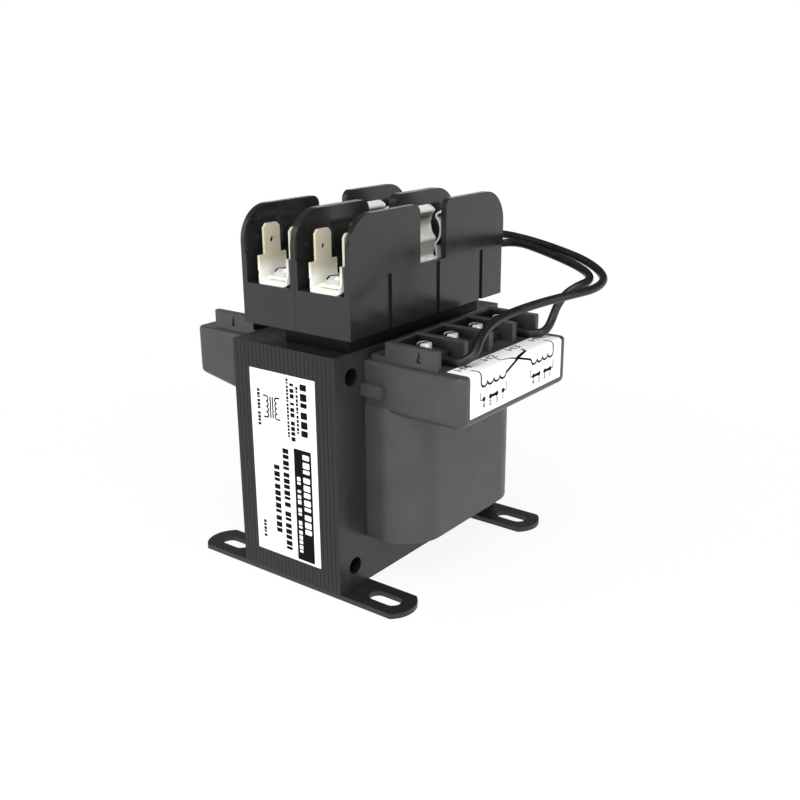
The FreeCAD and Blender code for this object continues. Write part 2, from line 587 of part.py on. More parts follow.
def fuse_clip(x, y0):
    """Spring clip of length CLIP_L from y0: flat base, legs in to a waist, a round grip and flared lips."""
    z = FUSE_FLOOR + PLATE_T + CLIP_T / 2
    grip = FUSE_R + CLIP_T / 2
    corner = grip * math.sqrt(2)
    reach = grip * CLIP_REACH
    half = [(CLIP_FOOT, z), (corner - reach, FUSE_Z - reach), (corner, FUSE_Z),
            (corner - reach, FUSE_Z + reach), CLIP_TIP]
    points = [(x - dx, pz) for dx, pz in reversed(half)] + [(x + dx, pz) for dx, pz in half]
    bends = (CLIP_BENDS[0], grip, CLIP_BENDS[1], BEND_R)
    clip = strip_section(points, bends + bends[::-1], CLIP_T).extrude(Vec(0, CLIP_L, 0))
    clip.translate(Vec(0, y0, 0))
    return clip.cut(cylinder(RIVET_R + 0.05, (x, y0 + CLIP_L / 2, z - 1), (0, 0, 1), 2))


def clip_rivet(x, y):
    """Tubular rivet through a clip and its strip."""
    top = FUSE_FLOOR + PLATE_T + CLIP_T
    return cylinder(2.0, (x, y, top), (0, 0, 1), 0.7).fuse(cylinder(RIVET_R, (x, y, top - 4.0), (0, 0, 1), 4.0))


def make_fuse_metal():
    """Terminals, clips, rivets, pressure plates and terminal screws of both poles."""
    rivets = []
    plates = []
    screws = []
    base = FUSE_FLOOR + PLATE_T
    for side, pole in ((-1, "left"), (1, "right")):
        x = side * POLE_X
        screw_x = x + TERMINAL_X
        front = front_terminal(screw_x)
        save("fuse_terminal_%s_front" % pole, front)
        save("fuse_terminal_%s_rear" % pole, front.mirror(Vec(0, FUSE_Y, 0), Vec(0, 1, 0)))
        ends = (("front", FUSE_Y - CLIP_GAP - CLIP_L, -1, base),
                ("rear", FUSE_Y + CLIP_GAP, 1, base + PLATE_T))
        for end, clip_y, sign, seat in ends:
            save("fuse_clip_%s_%s" % (pole, end), fuse_clip(x, clip_y))
            rivets.append(clip_rivet(x, clip_y + CLIP_L / 2))
            y = FUSE_Y + sign * TERMINAL_Y
            plates.append(pressure_plate(screw_x, y, seat))
            screws.append(slotted_screw(screw_x, y, seat + PRESSURE_PLATE[2], 3.5, 2.2, 1.75, 7.0, (1.1, 1.0),
                                        35.0 - 30.0 * sign))
    save("fuse_clip_rivets", Part.makeCompound(rivets))
    save("fuse_pressure_plates", Part.makeCompound(plates))
    save("fuse_terminal_screws", Part.makeCompound(screws))


def barrel_end(x):
    """Centre of the crimp barrel's open end, and the direction it points in."""
    angle = math.radians(RING_TURN)
    direction = Vec(math.sin(angle), math.cos(angle), 0)
    return Vec(x, FUSE_Y + TERMINAL_Y, BARREL_Z) + direction * BARREL_END, direction


def make_ring_terminal(name, x):
    """Crimped ring terminal under a rear terminal screw, its barrel towards the lead."""
    y = FUSE_Y + TERMINAL_Y
    z = FUSE_FLOOR + PLATE_T
    piece = cylinder(3.6, (x, y, z), (0, 0, 1), PLATE_T)
    piece = piece.fuse(box(x - 1.6, x + 1.6, y + 2.0, y + BARREL_START + 0.6, z, z + PLATE_T))
    piece = piece.fuse(box(x - 1.1, x + 1.1, y + BARREL_START, y + BARREL_END - 0.6, z, BARREL_Z))
    piece = piece.fuse(cylinder(BARREL_R, (x, y + BARREL_START, BARREL_Z), (0, 1, 0), BARREL_END - BARREL_START))
    piece = piece.cut(cylinder(1.9, (x, y, z - 1), (0, 0, 1), 3)).removeSplitter()
    piece.rotate(Vec(x, y, 0), Vec(0, 0, 1), -RING_TURN)
    save(name, piece)


def make_lead(name, x, route):
    """Round lead from the barrel at x along straight runs joined by tangent arcs."""
    start, direction = barrel_end(x)
    points = [start] + [Vec(*p) for p in route]
    points[1] = start + direction * (points[1] - start).Length
    edges = []
    radii = []
    start = points[0]
    for before, corner, after in zip(points, points[1:], points[2:]):
        a = corner - before
        b = after - corner
        half_turn = a.getAngle(b) / 2
        trim = 0.45 * min(a.Length, b.Length)
        radius = trim / math.tan(half_turn)
        radii.append(radius)
        enter = corner - a / a.Length * trim
        leave = corner + b / b.Length * trim
        inward = (b / b.Length - a / a.Length)
        inward.normalize()
        middle = corner + inward * (radius / math.cos(half_turn) - radius)
        edges.append(Part.LineSegment(start, enter).toShape())
        edges.append(Part.Arc(enter, middle, leave).toShape())
        start = leave
    edges.append(Part.LineSegment(start, points[-1]).toShape())
    path = Part.Wire(edges)
    section = Part.Wire(Part.Circle(points[0], direction, LEAD_D / 2).toShape())
    tube = path.makePipeShell([section], True, False)
    expected = math.pi * (LEAD_D / 2) ** 2 * path.Length
    save(name, tube)
    print("  length %.1f  volume ratio %.4f  radii %s"
          % (path.Length, tube.Volume / expected, " ".join("%.1f" % r for r in radii)))


def make_labels():
    """Front label on the core's edge and the primary label folded over the shelf."""
    x0, x1, z0, z1 = FRONT_LABEL
    save("front_label", box(x0, x1, -HALF_Y - LABEL_T, -HALF_Y, z0, z1))
    middle = LABEL_T / 2
    face_x = PRI_SHELF[0] + middle
    fold = strip_section([(PRI_LABEL_IN, SHELF_TOP + middle), (face_x, SHELF_TOP + middle), (face_x, PRI_LABEL_Z)],
                         (SHELF_TOP_R + middle,), LABEL_T)
    label = fold.extrude(Vec(0, 2 * PRI_LABEL_Y, 0))
    label.translate(Vec(0, -PRI_LABEL_Y, 0))
    save("primary_label", label)


def main():
    """Build and write every sub-part."""
    os.makedirs("parts", exist_ok=True)
    make_core()
    make_strap("front_mounting_strap", -STRAP_Y)
    make_strap("rear_mounting_strap", STRAP_Y)
    make_cover()
    make_windings()
    make_terminal_block("primary_terminal_block", PRI_BLOCK_OUT, PRI_NOTCH_X, 1)
    make_terminal_block("secondary_terminal_block", SEC_BLOCK_OUT, SEC_NOTCH_X, -1)
    make_terminals()
    make_spacer()
    make_pole("fuse_pole_left", -1)
    make_pole("fuse_pole_right", 1)
    make_fuse_metal()
    for name, x, route in (("h4", TERMINAL_X - POLE_X, ROUTE_H4), ("h1", TERMINAL_X + POLE_X, ROUTE_H1)):
        make_ring_terminal("ring_terminal_" + name, x)
        make_lead("lead_" + name, x, route)
    make_labels()


main()
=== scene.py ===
"""Control transformer with a two-pole fuse block: finishes, label print, leads and studio.

Metres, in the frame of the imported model. The labelled core edge faces -Y, the primary
terminals +X. Sizes whose names end in _mm, and the fields of the modelled pieces, are in
millimetres.
"""

import logging
import math
from dataclasses import dataclass
from enum import Enum

import bpy
from bpy.types import Material, Node, NodeSocket, NodeTree, Object
from mathutils import Matrix, Vector


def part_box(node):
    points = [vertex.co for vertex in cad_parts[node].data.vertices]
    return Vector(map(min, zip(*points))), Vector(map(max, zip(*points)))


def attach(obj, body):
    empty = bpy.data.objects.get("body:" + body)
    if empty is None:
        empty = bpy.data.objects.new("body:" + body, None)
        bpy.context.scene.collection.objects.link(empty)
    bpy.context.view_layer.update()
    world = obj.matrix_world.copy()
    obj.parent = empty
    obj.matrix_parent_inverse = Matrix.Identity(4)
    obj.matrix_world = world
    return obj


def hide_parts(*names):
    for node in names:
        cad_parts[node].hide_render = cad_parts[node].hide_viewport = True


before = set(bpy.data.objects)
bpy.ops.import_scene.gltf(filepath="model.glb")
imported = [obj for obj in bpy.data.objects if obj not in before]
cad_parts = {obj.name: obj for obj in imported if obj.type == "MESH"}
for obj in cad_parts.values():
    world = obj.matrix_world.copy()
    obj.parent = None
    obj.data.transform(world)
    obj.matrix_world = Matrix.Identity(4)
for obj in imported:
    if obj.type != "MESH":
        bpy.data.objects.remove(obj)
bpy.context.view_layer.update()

MM = 0.001
BODY = "root"
SMOOTH_DEG = 35.0           # faces that meet at less than this are shaded as one
NOISE_LOW, NOISE_HIGH = 0.3, 0.7    # range that nearly all of a noise texture lies in
INK_MM = 0.03               # thickness of the black print
LIGHT_INK_MM = 0.02         # thickness of the light print on it
TEXT_SIZE = 1.4             # font size that gives capitals of height 1
LOOP_STEPS = 8              # straight pieces in one loop of a printed winding
WHITE = "#ffffff"
log = logging.getLogger("transformer")


def linear(code: str) -> tuple[float, float, float, float]:
    """Turn an sRGB hex colour into linear RGBA.

    Args:
        code: Colour as "#rrggbb".

    Returns:
        Linear red, green, blue and an alpha of 1.
    """
    channels = [int(code[i:i + 2], 16) / 255 for i in (1, 3, 5)]
    red, green, blue = (c / 12.92 if c <= 0.04045 else ((c + 0.055) / 1.055) ** 2.4
                        for c in channels)
    return red, green, blue, 1.0


def add_node(tree: NodeTree, kind: str, inputs: dict | None = None, **settings: object) -> Node:
    """Add a node with its settings, and link or fill its inputs.

    Args:
        tree: Node tree that gets the node.
        kind: Blender's type name of the node.
        inputs: Value or output socket for each named or numbered input.
        settings: Attributes of the node itself.

    Returns:
        The new node.
    """
    node = tree.nodes.new(kind)
    for name, value in settings.items():
        setattr(node, name, value)
    for key, value in (inputs or {}).items():
        if isinstance(value, NodeSocket):
            tree.links.new(value, node.inputs[key])
        else:
            node.inputs[key].default_value = value
    return node


def deselect() -> None:
    """Leave object mode with nothing selected."""
    if bpy.context.mode != "OBJECT":
        bpy.ops.object.mode_set(mode="OBJECT")
    bpy.ops.object.select_all(action="DESELECT")


def activate(obj: Object) -> None:
    """Make one object the only selected and active one."""
    deselect()
    obj.select_set(True)
    bpy.context.view_layer.objects.active = obj


def place_in_mesh(obj: Object, matrix: Matrix) -> None:
    """Move a mesh object to its place and put that place into its mesh.

    Args:
        obj: Object that is moved.
        matrix: Its new place, turn and scale.
    """
    obj.matrix_world = matrix
    activate(obj)
    bpy.ops.object.transform_apply(location=True, rotation=True, scale=True)


def apply_modifier(obj: Object, kind: str, **settings: object) -> None:
    """Add a modifier to an object and apply it.

    Args:
        obj: Object that gets the modifier.
        kind: Blender's type name of the modifier.
        settings: Attributes of the modifier.
    """
    activate(obj)
    modifier = obj.modifiers.new(kind.lower(), kind)
    for name, value in settings.items():
        setattr(modifier, name, value)
    bpy.ops.object.modifier_apply(modifier=modifier.name)


def soften(obj: Object, width_mm: float, sharp_deg: float = 50.0) -> None:
    """Bevel the sharp edges of a piece and shade it smooth between them.

    Args:
        obj: The piece.
        width_mm: Width of the bevel.
        sharp_deg: Angle from which an edge counts as sharp.
    """
    apply_modifier(obj, "BEVEL", width=width_mm * MM, segments=2, limit_method="ANGLE",
                   angle_limit=math.radians(sharp_deg))
    bpy.ops.object.shade_smooth_by_angle(angle=math.radians(SMOOTH_DEG))


def thicken(thickness_mm: float) -> None:
    """Extrude the flat mesh in edit mode up by a thickness and turn its faces outwards."""
    bpy.ops.mesh.select_all(action="SELECT")
    bpy.ops.mesh.extrude_region_move(TRANSFORM_OT_translate={"value": (0, 0, thickness_mm * MM)})
    bpy.ops.mesh.select_all(action="SELECT")
    bpy.ops.mesh.normals_make_consistent(inside=False)


def join(pieces: list[Object], name: str) -> Object:
    """Join mesh objects into one named piece.

    Args:
        pieces: Objects to join.
        name: Name of the piece and its mesh.

    Returns:
        The joined object.
    """
    activate(pieces[0])
    for piece in pieces[1:]:
        piece.select_set(True)
    bpy.ops.object.join()
    pieces[0].name = name
    pieces[0].data.name = name
    return pieces[0]


def mount_piece(obj: Object, finish: "Finish", slot: str, *replaced: str) -> None:
    """Give a finished piece its material and body, and report it.

    Args:
        obj: The piece.
        finish: What it is made of.
        slot: Not used.
        replaced: CAD nodes that it stands for.
    """
    obj.data.materials.clear()
    obj.data.materials.append(finish.build())
    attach(obj, BODY)
    if replaced:
        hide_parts(*replaced)
    log.info("piece %s in %s", obj.name, finish.name)


@dataclass(frozen=True)
class Finish:
    """A surface: what the real material is and how it was made."""

    name: str
    colour: str
    roughness: float

    def build(self) -> Material:
        """Make the material on first use.

        Returns:
            The material.
        """
        material = bpy.data.materials.get(self.name)
        if material is None:
            material = bpy.data.materials.new(self.name)
            material.use_nodes = True
            shader = material.node_tree.nodes["Principled BSDF"]
            shader.inputs["Base Color"].default_value = linear(self.colour)
            shader.inputs["Roughness"].default_value = self.roughness
            self.dress(material.node_tree, shader)
        return material

    def dress(self, tree: NodeTree, shader: Node) -> None:
        """Add what this kind of surface shows; each finish has its own."""
        raise NotImplementedError

    def cover(self, tree: NodeTree, shader: Node, tone: NodeSocket, gloss: NodeSocket,
              uneven: tuple[float, float], *reliefs: tuple[NodeSocket, float]) -> None:
        """Link what varies over the surface: its colour, roughness and relief.

        Args:
            tree: Node tree of the material.
            shader: Its Principled BSDF.
            tone: The colour.
            gloss: Noise that the roughness follows.
            uneven: What a low and a high noise add to the roughness.
            reliefs: Height from 0 to 1 and depth in millimetres of each, the coarsest first.
        """
        rough = add_node(tree, "ShaderNodeMapRange", {
            "Value": gloss, "From Min": NOISE_LOW, "From Max": NOISE_HIGH,
            "To Min": self.roughness + uneven[0], "To Max": self.roughness + uneven[1]})
        tree.links.new(tone, shader.inputs["Base Color"])
        tree.links.new(rough.outputs["Result"], shader.inputs["Roughness"])
        normal = None
        for height, depth_mm in reliefs:
            bump = add_node(tree, "ShaderNodeBump", {
                "Height": height, "Strength": 1.0, "Distance": depth_mm * MM})
            if normal is not None:
                tree.links.new(normal, bump.inputs["Normal"])
            normal = bump.outputs["Normal"]
        if normal is not None:
            tree.links.new(normal, shader.inputs["Normal"])

    def noise(self, tree: NodeTree, size_mm: float,
              stretch: tuple[float, float, float] = (1, 1, 1), detail: float = 3.0) -> NodeSocket:
        """Noise whose features measure size_mm, drawn out along an axis by its stretch.

        Args:
            tree: Node tree of the material.
            size_mm: Size of one feature.
            stretch: How much longer a feature is along X, Y and Z.
            detail: Octaves of finer noise.

        Returns:
            The noise value, about 0.5 on average.
        """
        place = add_node(tree, "ShaderNodeTexCoord").outputs["Object"]
        spread = add_node(tree, "ShaderNodeMapping", {
            "Vector": place, "Scale": [1 / s for s in stretch]})
        return add_node(tree, "ShaderNodeTexNoise", {
            "Vector": spread.outputs["Vector"], "Scale": 1 / (size_mm * MM), "Detail": detail,
        }).outputs["Fac"]

    def stripes(self, tree: NodeTree, axis: str, pitch_mm: float, waver: float,
                waver_scale: float = 1.0) -> NodeSocket:
        """Round ribs of even pitch across an axis.

        Args:
            tree: Node tree of the material.
            axis: Axis that the ribs follow each other along.
            pitch_mm: Distance from rib to rib.
            waver: How far they stray from even.
            waver_scale: How often they stray.

        Returns:
            Height of the ribs from 0 to 1.
        """
        place = add_node(tree, "ShaderNodeTexCoord").outputs["Object"]
        return add_node(tree, "ShaderNodeTexWave", {
            "Vector": place, "Scale": math.pi / 10 / (pitch_mm * MM), "Distortion": waver,
            "Detail": 1.0, "Detail Scale": waver_scale,
        }, wave_type="BANDS", bands_direction=axis, wave_profile="SIN").outputs["Fac"]

    def shade(self, tree: NodeTree, value: NodeSocket, dark: str, light: str,
              low: float = NOISE_LOW, high: float = NOISE_HIGH) -> NodeSocket:
        """Colour between two shades that follows a value.

        Args:
            tree: Node tree of the material.
            value: What the colour follows.
            dark: Colour at the low value.
            light: Colour at the high value.
            low: Value that gives the dark colour.
            high: Value that gives the light colour.

        Returns:
            The colour.
        """
        ramp = add_node(tree, "ShaderNodeValToRGB", {"Fac": value})
        ends = ramp.color_ramp.elements
        ends[0].position, ends[0].color = low, linear(dark)
        ends[1].position, ends[1].color = high, linear(light)
        return ramp.outputs["Color"]

    def blend(self, tree: NodeTree, value: NodeSocket, span: tuple[float, float], plain: str,
              tone: NodeSocket) -> NodeSocket:
        """Turn from a plain colour to a tone along a value.

        Args:
            tree: Node tree of the material.
            value: What the change follows.
            span: Values at which it starts and ends.
            plain: Colour at the start.
            tone: Colour at the end.

        Returns:
            The blended colour.
        """
        share = add_node(tree, "ShaderNodeMapRange", {
            "Value": value, "From Min": span[0], "From Max": span[1]}).outputs["Result"]
        return add_node(tree, "ShaderNodeMix", {
            "Factor": share, "A": linear(plain), "B": tone}, data_type="RGBA").outputs["Result"]


@dataclass(frozen=True)
class MouldedPlastic(Finish):
    """Injection-moulded plastic: satin skin with the fine grain of a spark-eroded mould."""

    shade_dark: str
    shade_light: str
    specular: float = 0.35
    grain_mm: float = 0.35
    grain_depth_mm: float = 0.012
    wave_mm: float = 14.0
    wave_depth_mm: float = 0.04
    cloud_mm: float = 9.0
    gloss_mm: float = 5.0
    uneven: tuple[float, float] = (-0.03, 0.05)
    painted_recess_shade: str = ""
    painted_shade_reach_mm: float = 9.0
    painted_shade_span: tuple[float, float] = (0.45, 0.95)

    def dress(self, tree: NodeTree, shader: Node) -> None:
        """Cloudy tone from the fill, grain, sink waves, uneven gloss, and painted shade in the
        recesses.
        """
        cloud = self.noise(tree, self.cloud_mm, detail=4.0)
        grain = self.noise(tree, self.grain_mm, detail=2.0)
        wave = self.noise(tree, self.wave_mm, detail=1.0)
        tone = self.shade(tree, cloud, self.shade_dark, self.shade_light)
        # Painted shade: the tone turns to the recess colour where ambient occlusion finds the
        # surface closed in
        if self.painted_recess_shade:
            painted_shade_mask = add_node(tree, "ShaderNodeAmbientOcclusion", {
                "Distance": self.painted_shade_reach_mm * MM}, only_local=True).outputs["AO"]
            tone = self.blend(tree, painted_shade_mask, self.painted_shade_span, self.painted_recess_shade, tone)
        self.cover(tree, shader, tone, self.noise(tree, self.gloss_mm), self.uneven,
                   (wave, self.wave_depth_mm), (grain, self.grain_depth_mm))
        shader.inputs["Specular IOR Level"].default_value = self.specular


@dataclass(frozen=True)
class LaminatedSteel(Finish):
    """Stacked electrical sheets in baked varnish: ribbed cut edges, smooth faces.

    The real sheets are about 0.5 mm thick. They are drawn a little coarser, because finer ribs
    blur away in the render.
    """

    edge_dark: str
    edge_light: str
    face_dark: str
    face_light: str
    sheet_mm: float = 0.78
    sheet_depth_mm: float = 0.005
    sheet_waver: tuple[float, float] = (0.25, 40.0)
    group_mm: float = 2.2
    group_stretch: tuple[float, float, float] = (1, 80, 80)
    run_mm: float = 6.0
    run_stretch: tuple[float, float, float] = (1, 1, 3)
    run_depth_mm: float = 0.015
    uneven: tuple[float, float] = (-0.06, 0.08)
    edge_span: tuple[float, float] = (0.05, 0.6)
    face_limit: float = 0.7
    specular: float = 0.4

    def dress(self, tree: NodeTree, shader: Node) -> None:
        """Ribs on the surfaces that run across the sheets, and thin varnish runs everywhere."""
        sheets = self.stripes(tree, "X", self.sheet_mm, *self.sheet_waver)
        groups = self.noise(tree, self.group_mm, self.group_stretch, detail=1.0)
        runs = self.noise(tree, self.run_mm, self.run_stretch, detail=4.0)
        depth = add_node(tree, "ShaderNodeMath", {0: sheets, 1: groups},
                         operation="MULTIPLY").outputs["Value"]
        edges = self.shade(tree, depth, self.edge_dark, self.edge_light, *self.edge_span)
        faces = self.shade(tree, runs, self.face_dark, self.face_light)
        normal = add_node(tree, "ShaderNodeNewGeometry").outputs["Normal"]
        along = add_node(tree, "ShaderNodeSeparateXYZ", {"Vector": normal}).outputs["X"]
        flat = add_node(tree, "ShaderNodeMath", {0: along}, operation="ABSOLUTE").outputs["Value"]
        is_face = add_node(tree, "ShaderNodeMath", {0: flat, 1: self.face_limit},
                           operation="GREATER_THAN").outputs["Value"]
        tone = add_node(tree, "ShaderNodeMix", {"Factor": is_face, "A": edges, "B": faces},
                        data_type="RGBA").outputs["Result"]
        self.cover(tree, shader, tone, runs, self.uneven,
                   (runs, self.run_depth_mm), (sheets, self.sheet_depth_mm))
        shader.inputs["Specular IOR Level"].default_value = self.specular


@dataclass(frozen=True)
class EnamelledSteel(Finish):
    """Flat steel under baked black enamel, with a slight orange peel."""

    shade_dark: str
    shade_light: str
    peel_mm: float = 1.1
    peel_depth_mm: float = 0.02
    rub_mm: float = 4.0
    rub_stretch: tuple[float, float, float] = (3, 1, 1)
    uneven: tuple[float, float] = (0.08, -0.06)

    def dress(self, tree: NodeTree, shader: Node) -> None:
        """Orange peel, and slightly lighter and smoother rubs along the strip."""
        peel = self.noise(tree, self.peel_mm, detail=2.0)
        rub = self.noise(tree, self.rub_mm, self.rub_stretch, detail=5.0)
        self.cover(tree, shader, self.shade(tree, rub, self.shade_dark, self.shade_light),
                   rub, self.uneven, (peel, self.peel_depth_mm))


@dataclass(frozen=True)
class PlatedMetal(Finish):
    """Stamped or headed metal with a thin bright plating over its rolling lines."""

    shade_dark: str
    shade_light: str
    line_mm: float
    stretch: tuple[float, float, float]
    line_depth_mm: float
    metallic: float = 0.6
    cloud_mm: float = 6.0
    uneven: tuple[float, float] = (-0.02, 0.03)
    painted_underside_shade: str = ""
    underside_shade_span: tuple[float, float] = (-0.5, 0.18)
    painted_slot_shade: str = ""
    slot_shade_reach_mm: float = 1.5
    slot_shade_span: tuple[float, float] = (0.7, 0.92)

    def tone(self, tree: NodeTree, cloud: NodeSocket) -> NodeSocket:
        """Colour of the plating, with painted shade on the undersides and in narrow slots where it
        has them.

        Args:
            tree: Node tree of the material.
            cloud: Noise that the plating's shade follows.

        Returns:
            The colour.
        """
        tone = self.shade(tree, cloud, self.shade_dark, self.shade_light)
        # Painted shade: darker where the surface faces down and lighter where it faces up, in place
        # of light from above
        if self.painted_underside_shade:
            normal = add_node(tree, "ShaderNodeNewGeometry").outputs["Normal"]
            upward = add_node(tree, "ShaderNodeSeparateXYZ", {"Vector": normal}).outputs["Z"]
            tone = self.blend(tree, upward, self.underside_shade_span, self.painted_underside_shade, tone)
        # Painted shade: near-black where ambient occlusion finds a narrow slot
        if self.painted_slot_shade:
            painted_shade_mask = add_node(tree, "ShaderNodeAmbientOcclusion", {
                "Distance": self.slot_shade_reach_mm * MM}, only_local=True).outputs["AO"]
            tone = self.blend(tree, painted_shade_mask, self.slot_shade_span, self.painted_slot_shade, tone)
        return tone

    def dress(self, tree: NodeTree, shader: Node) -> None:
        """Rolling lines under the plating, and its tone."""
        lines = self.noise(tree, self.line_mm, self.stretch, detail=2.0)
        cloud = self.noise(tree, self.cloud_mm, detail=2.0)
        self.cover(tree, shader, self.tone(tree, cloud), cloud, self.uneven,
                   (lines, self.line_depth_mm))
        shader.inputs["Metallic"].default_value = self.metallic


@dataclass(frozen=True)
class StampedTerminal(PlatedMetal):
    """Plated terminal stamping, with a painted highlight that keeps the base bright and painted
    shade that makes the tab duller.
    """

    tab_painted_shade: str = "#cfc8b2"
    base_z: float = 90.5
    tab_z: float = 94.0

    def tone(self, tree: NodeTree, cloud: NodeSocket) -> NodeSocket:
        """Plating that turns from the bright base to the darker tab, as painted highlight and
        painted shade set by height.

        Args:
            tree: Node tree of the material.
            cloud: Noise that the plating's shade follows.

        Returns:
            The colour.
        """
        # Painted light: the colour turns from the base's plating to the darker tab colour between
        # the two heights
        place = add_node(tree, "ShaderNodeTexCoord").outputs["Object"]
        height = add_node(tree, "ShaderNodeSeparateXYZ", {"Vector": place}).outputs["Z"]
        span = (self.tab_z * MM, self.base_z * MM)
        return self.blend(tree, height, span, self.tab_painted_shade, super().tone(tree, cloud))


@dataclass(frozen=True)
class WoundWire(Finish):
    """Layers of enamelled copper wire wound side by side."""

    wire_mm: float
    shade_dark: str = "#8a3f1c"
    shade_light: str = "#c4703a"
    turn_waver: float = 0.3
    turn_stretch: tuple[float, float, float] = (30, 30, 1)
    uneven: tuple[float, float] = (0.0, 0.1)
    metallic: float = 0.6
    enamel: float = 0.6

    def dress(self, tree: NodeTree, shader: Node) -> None:
        """Round turns stacked along Z, each of a slightly different tone."""
        turns = self.stripes(tree, "Z", self.wire_mm, self.turn_waver)
        tone = self.noise(tree, self.wire_mm * 1.5, self.turn_stretch, detail=1.0)
        self.cover(tree, shader, self.shade(tree, tone, self.shade_dark, self.shade_light),
                   tone, self.uneven, (turns, self.wire_mm * 0.4))
        shader.inputs["Metallic"].default_value = self.metallic
        shader.inputs["Coat Weight"].default_value = self.enamel


@dataclass(frozen=True)
class SoftSheet(Finish):
    """Extruded or coated plastic with a slight cloud in its tone and a soft waviness."""

    shade_dark: str
    shade_light: str
    haze_mm: float
    haze_detail: float
    ripple_mm: float
    ripple_depth_mm: float
    uneven: tuple[float, float]

    def dress(self, tree: NodeTree, shader: Node) -> None:
        """Cloudy tone, uneven gloss and ripples."""
        haze = self.noise(tree, self.haze_mm, detail=self.haze_detail)
        ripple = self.noise(tree, self.ripple_mm, detail=1.0)
        self.cover(tree, shader, self.shade(tree, haze, self.shade_dark, self.shade_light),
                   haze, self.uneven, (ripple, self.ripple_depth_mm))


@dataclass(frozen=True)
class VinylJacket(SoftSheet):
    """Extruded insulation: smooth, with the extruder's draw waves and a soft shine."""

    haze_mm: float = 3.0
    haze_detail: float = 4.0
    ripple_mm: float = 1.2
    ripple_depth_mm: float = 0.02
    uneven: tuple[float, float] = (-0.05, 0.1)


@dataclass(frozen=True)
class LabelFilm(SoftSheet):
    """Coated label film, with ripples where the adhesive is uneven."""

    haze_mm: float = 6.0
    haze_detail: float = 3.0
    ripple_mm: float = 4.0
    ripple_depth_mm: float = 0.015
    uneven: tuple[float, float] = (-0.04, 0.06)


@dataclass(frozen=True)
class PrintInk(Finish):
    """Ink laid on label film by a ribbon printer."""

    shade_dark: str
    shade_light: str
    speck_mm: float = 0.3
    speck_span: tuple[float, float] = (0.45, 0.75)
    uneven: tuple[float, float] = (0.0, 0.1)
    specular: float = 0.1

    def dress(self, tree: NodeTree, shader: Node) -> None:
        """Uneven cover of the ribbon, as small lighter specks."""
        speck = self.noise(tree, self.speck_mm, detail=4.0)
        tone = self.shade(tree, speck, self.shade_dark, self.shade_light, *self.speck_span)
        self.cover(tree, shader, tone, speck, self.uneven)
        shader.inputs["Specular IOR Level"].default_value = self.specular


# Glass-filled nylon of the coil cover: dark grey satin skin that a pale floor lights to mid grey
COVER_NYLON = MouldedPlastic("glass_filled_nylon_grey", "#3b3b3c", 0.4, "#383839", "#3f3f40", 0.5)
# Phenolic barrier strips: grey where they face the light, and painted shade that turns them nearly
# black deep between the ribs
BLOCK_PHENOLIC = MouldedPlastic("moulded_phenolic_dark", "#37373a", 0.36, "#353536", "#3a3a3b",
                                0.5, 0.3, 0.006, painted_recess_shade="#0c0c0c")
# Thermoplastic of the fuse block: charcoal, smooth enough to mirror its surroundings softly
FUSE_PLASTIC = MouldedPlastic("moulded_fuse_block_charcoal", "#1e1e1f", 0.2, "#1d1d1e", "#202020",
                              0.5, 0.3, 0.001)
# Strip punched from phenolic sheet: dull and nearly black
SPACER_SHEET = MouldedPlastic("punched_phenolic_black", "#060708", 0.6, "#050607", "#090a0b",
                              0.12, 0.5, 0.004)
# Nylon coil former, natural colour darkened by the varnish dip
BOBBIN_NYLON = MouldedPlastic("varnished_bobbin_nylon", "#4a463d", 0.5, "#403c34", "#544f44")
# Varnished silicon steel: fine ribs on the cut edges, slightly greyer sheet faces
CORE_STEEL = LaminatedSteel("varnished_electrical_sheet", "#1a1a1a", 0.36, "#141415", "#181819",
                            "#222223", "#2a2a2b")
# Black enamelled strip steel of the mounting straps
STRAP_ENAMEL = EnamelledSteel("black_enamelled_strip", "#1e1e1f", 0.42, "#1b1b1c", "#232324")
# Nickel-plated brass stampings: bright and softly blurred, with painted shade that makes the tabs
# darker and warmer
NICKEL_STRIP = StampedTerminal("nickel_plated_brass", "#f4f2ea", 0.3, "#f1efe6", "#f6f5ef",
                               0.5, (1, 12, 1), 0.0001, 0.1)
# Tin-plated bronze of the spring clips: white on top, with painted shade where the bends face down
TIN_BRONZE = PlatedMetal("tin_plated_bronze", "#faf9f5", 0.2, "#f8f7f2", "#fcfbf8",
                         0.5, (1, 1, 12), 0.00005, 0.25, painted_underside_shade="#35332c")
# Clear zinc on the steel screws: light grey heads, with painted shade that makes the slots dark
ZINC_STEEL = PlatedMetal("clear_zinc_steel", "#cdcdcb", 0.25, "#c8c8c6", "#d4d4d2",
                         0.4, (1, 1, 1), 0.0001, 0.35, painted_slot_shade="#080808")
# Wire clamps under the terminal screws: darkened steel that hardly shines in the bays
CLAMP_STEEL = PlatedMetal("darkened_clamp_steel", "#3a3936", 0.4, "#32312f", "#434240",
                          0.2, (1, 1, 1), 0.0004)
# Tinned copper crimps on the leads
TIN_CRIMP = PlatedMetal("tinned_copper_crimp", "#dad8d1", 0.28, "#cfccc4", "#e4e2dc",
                        0.15, (1, 1, 1), 0.0015)
# Black PVC jacket of the leads: a long soft shine along the wire
LEAD_VINYL = VinylJacket("black_pvc_jacket", "#111111", 0.34, "#0e0e0e", "#161616")
# White label film, satin and slightly rippled, and the dull black print on it
LABEL_WHITE = LabelFilm("white_label_film", "#f6f6f5", 0.5, "#f3f3f2", "#f8f8f7")
LABEL_BLACK = PrintInk("black_label_ink", "#060606", 0.6, "#050505", "#0e0e0e")
# Enamelled copper: glossy brown turns, thin on the primary and thick on the secondary
FINE_COPPER = WoundWire("enamelled_copper_fine", "#a8562b", 0.35, 0.35)
HEAVY_COPPER = WoundWire("enamelled_copper_heavy", "#a8562b", 0.35, 0.9)
# Polyester film between the windings: amber and glossy
POLYESTER = VinylJacket("amber_polyester_film", "#a08a4a", 0.25, "#94803f", "#ad9756")


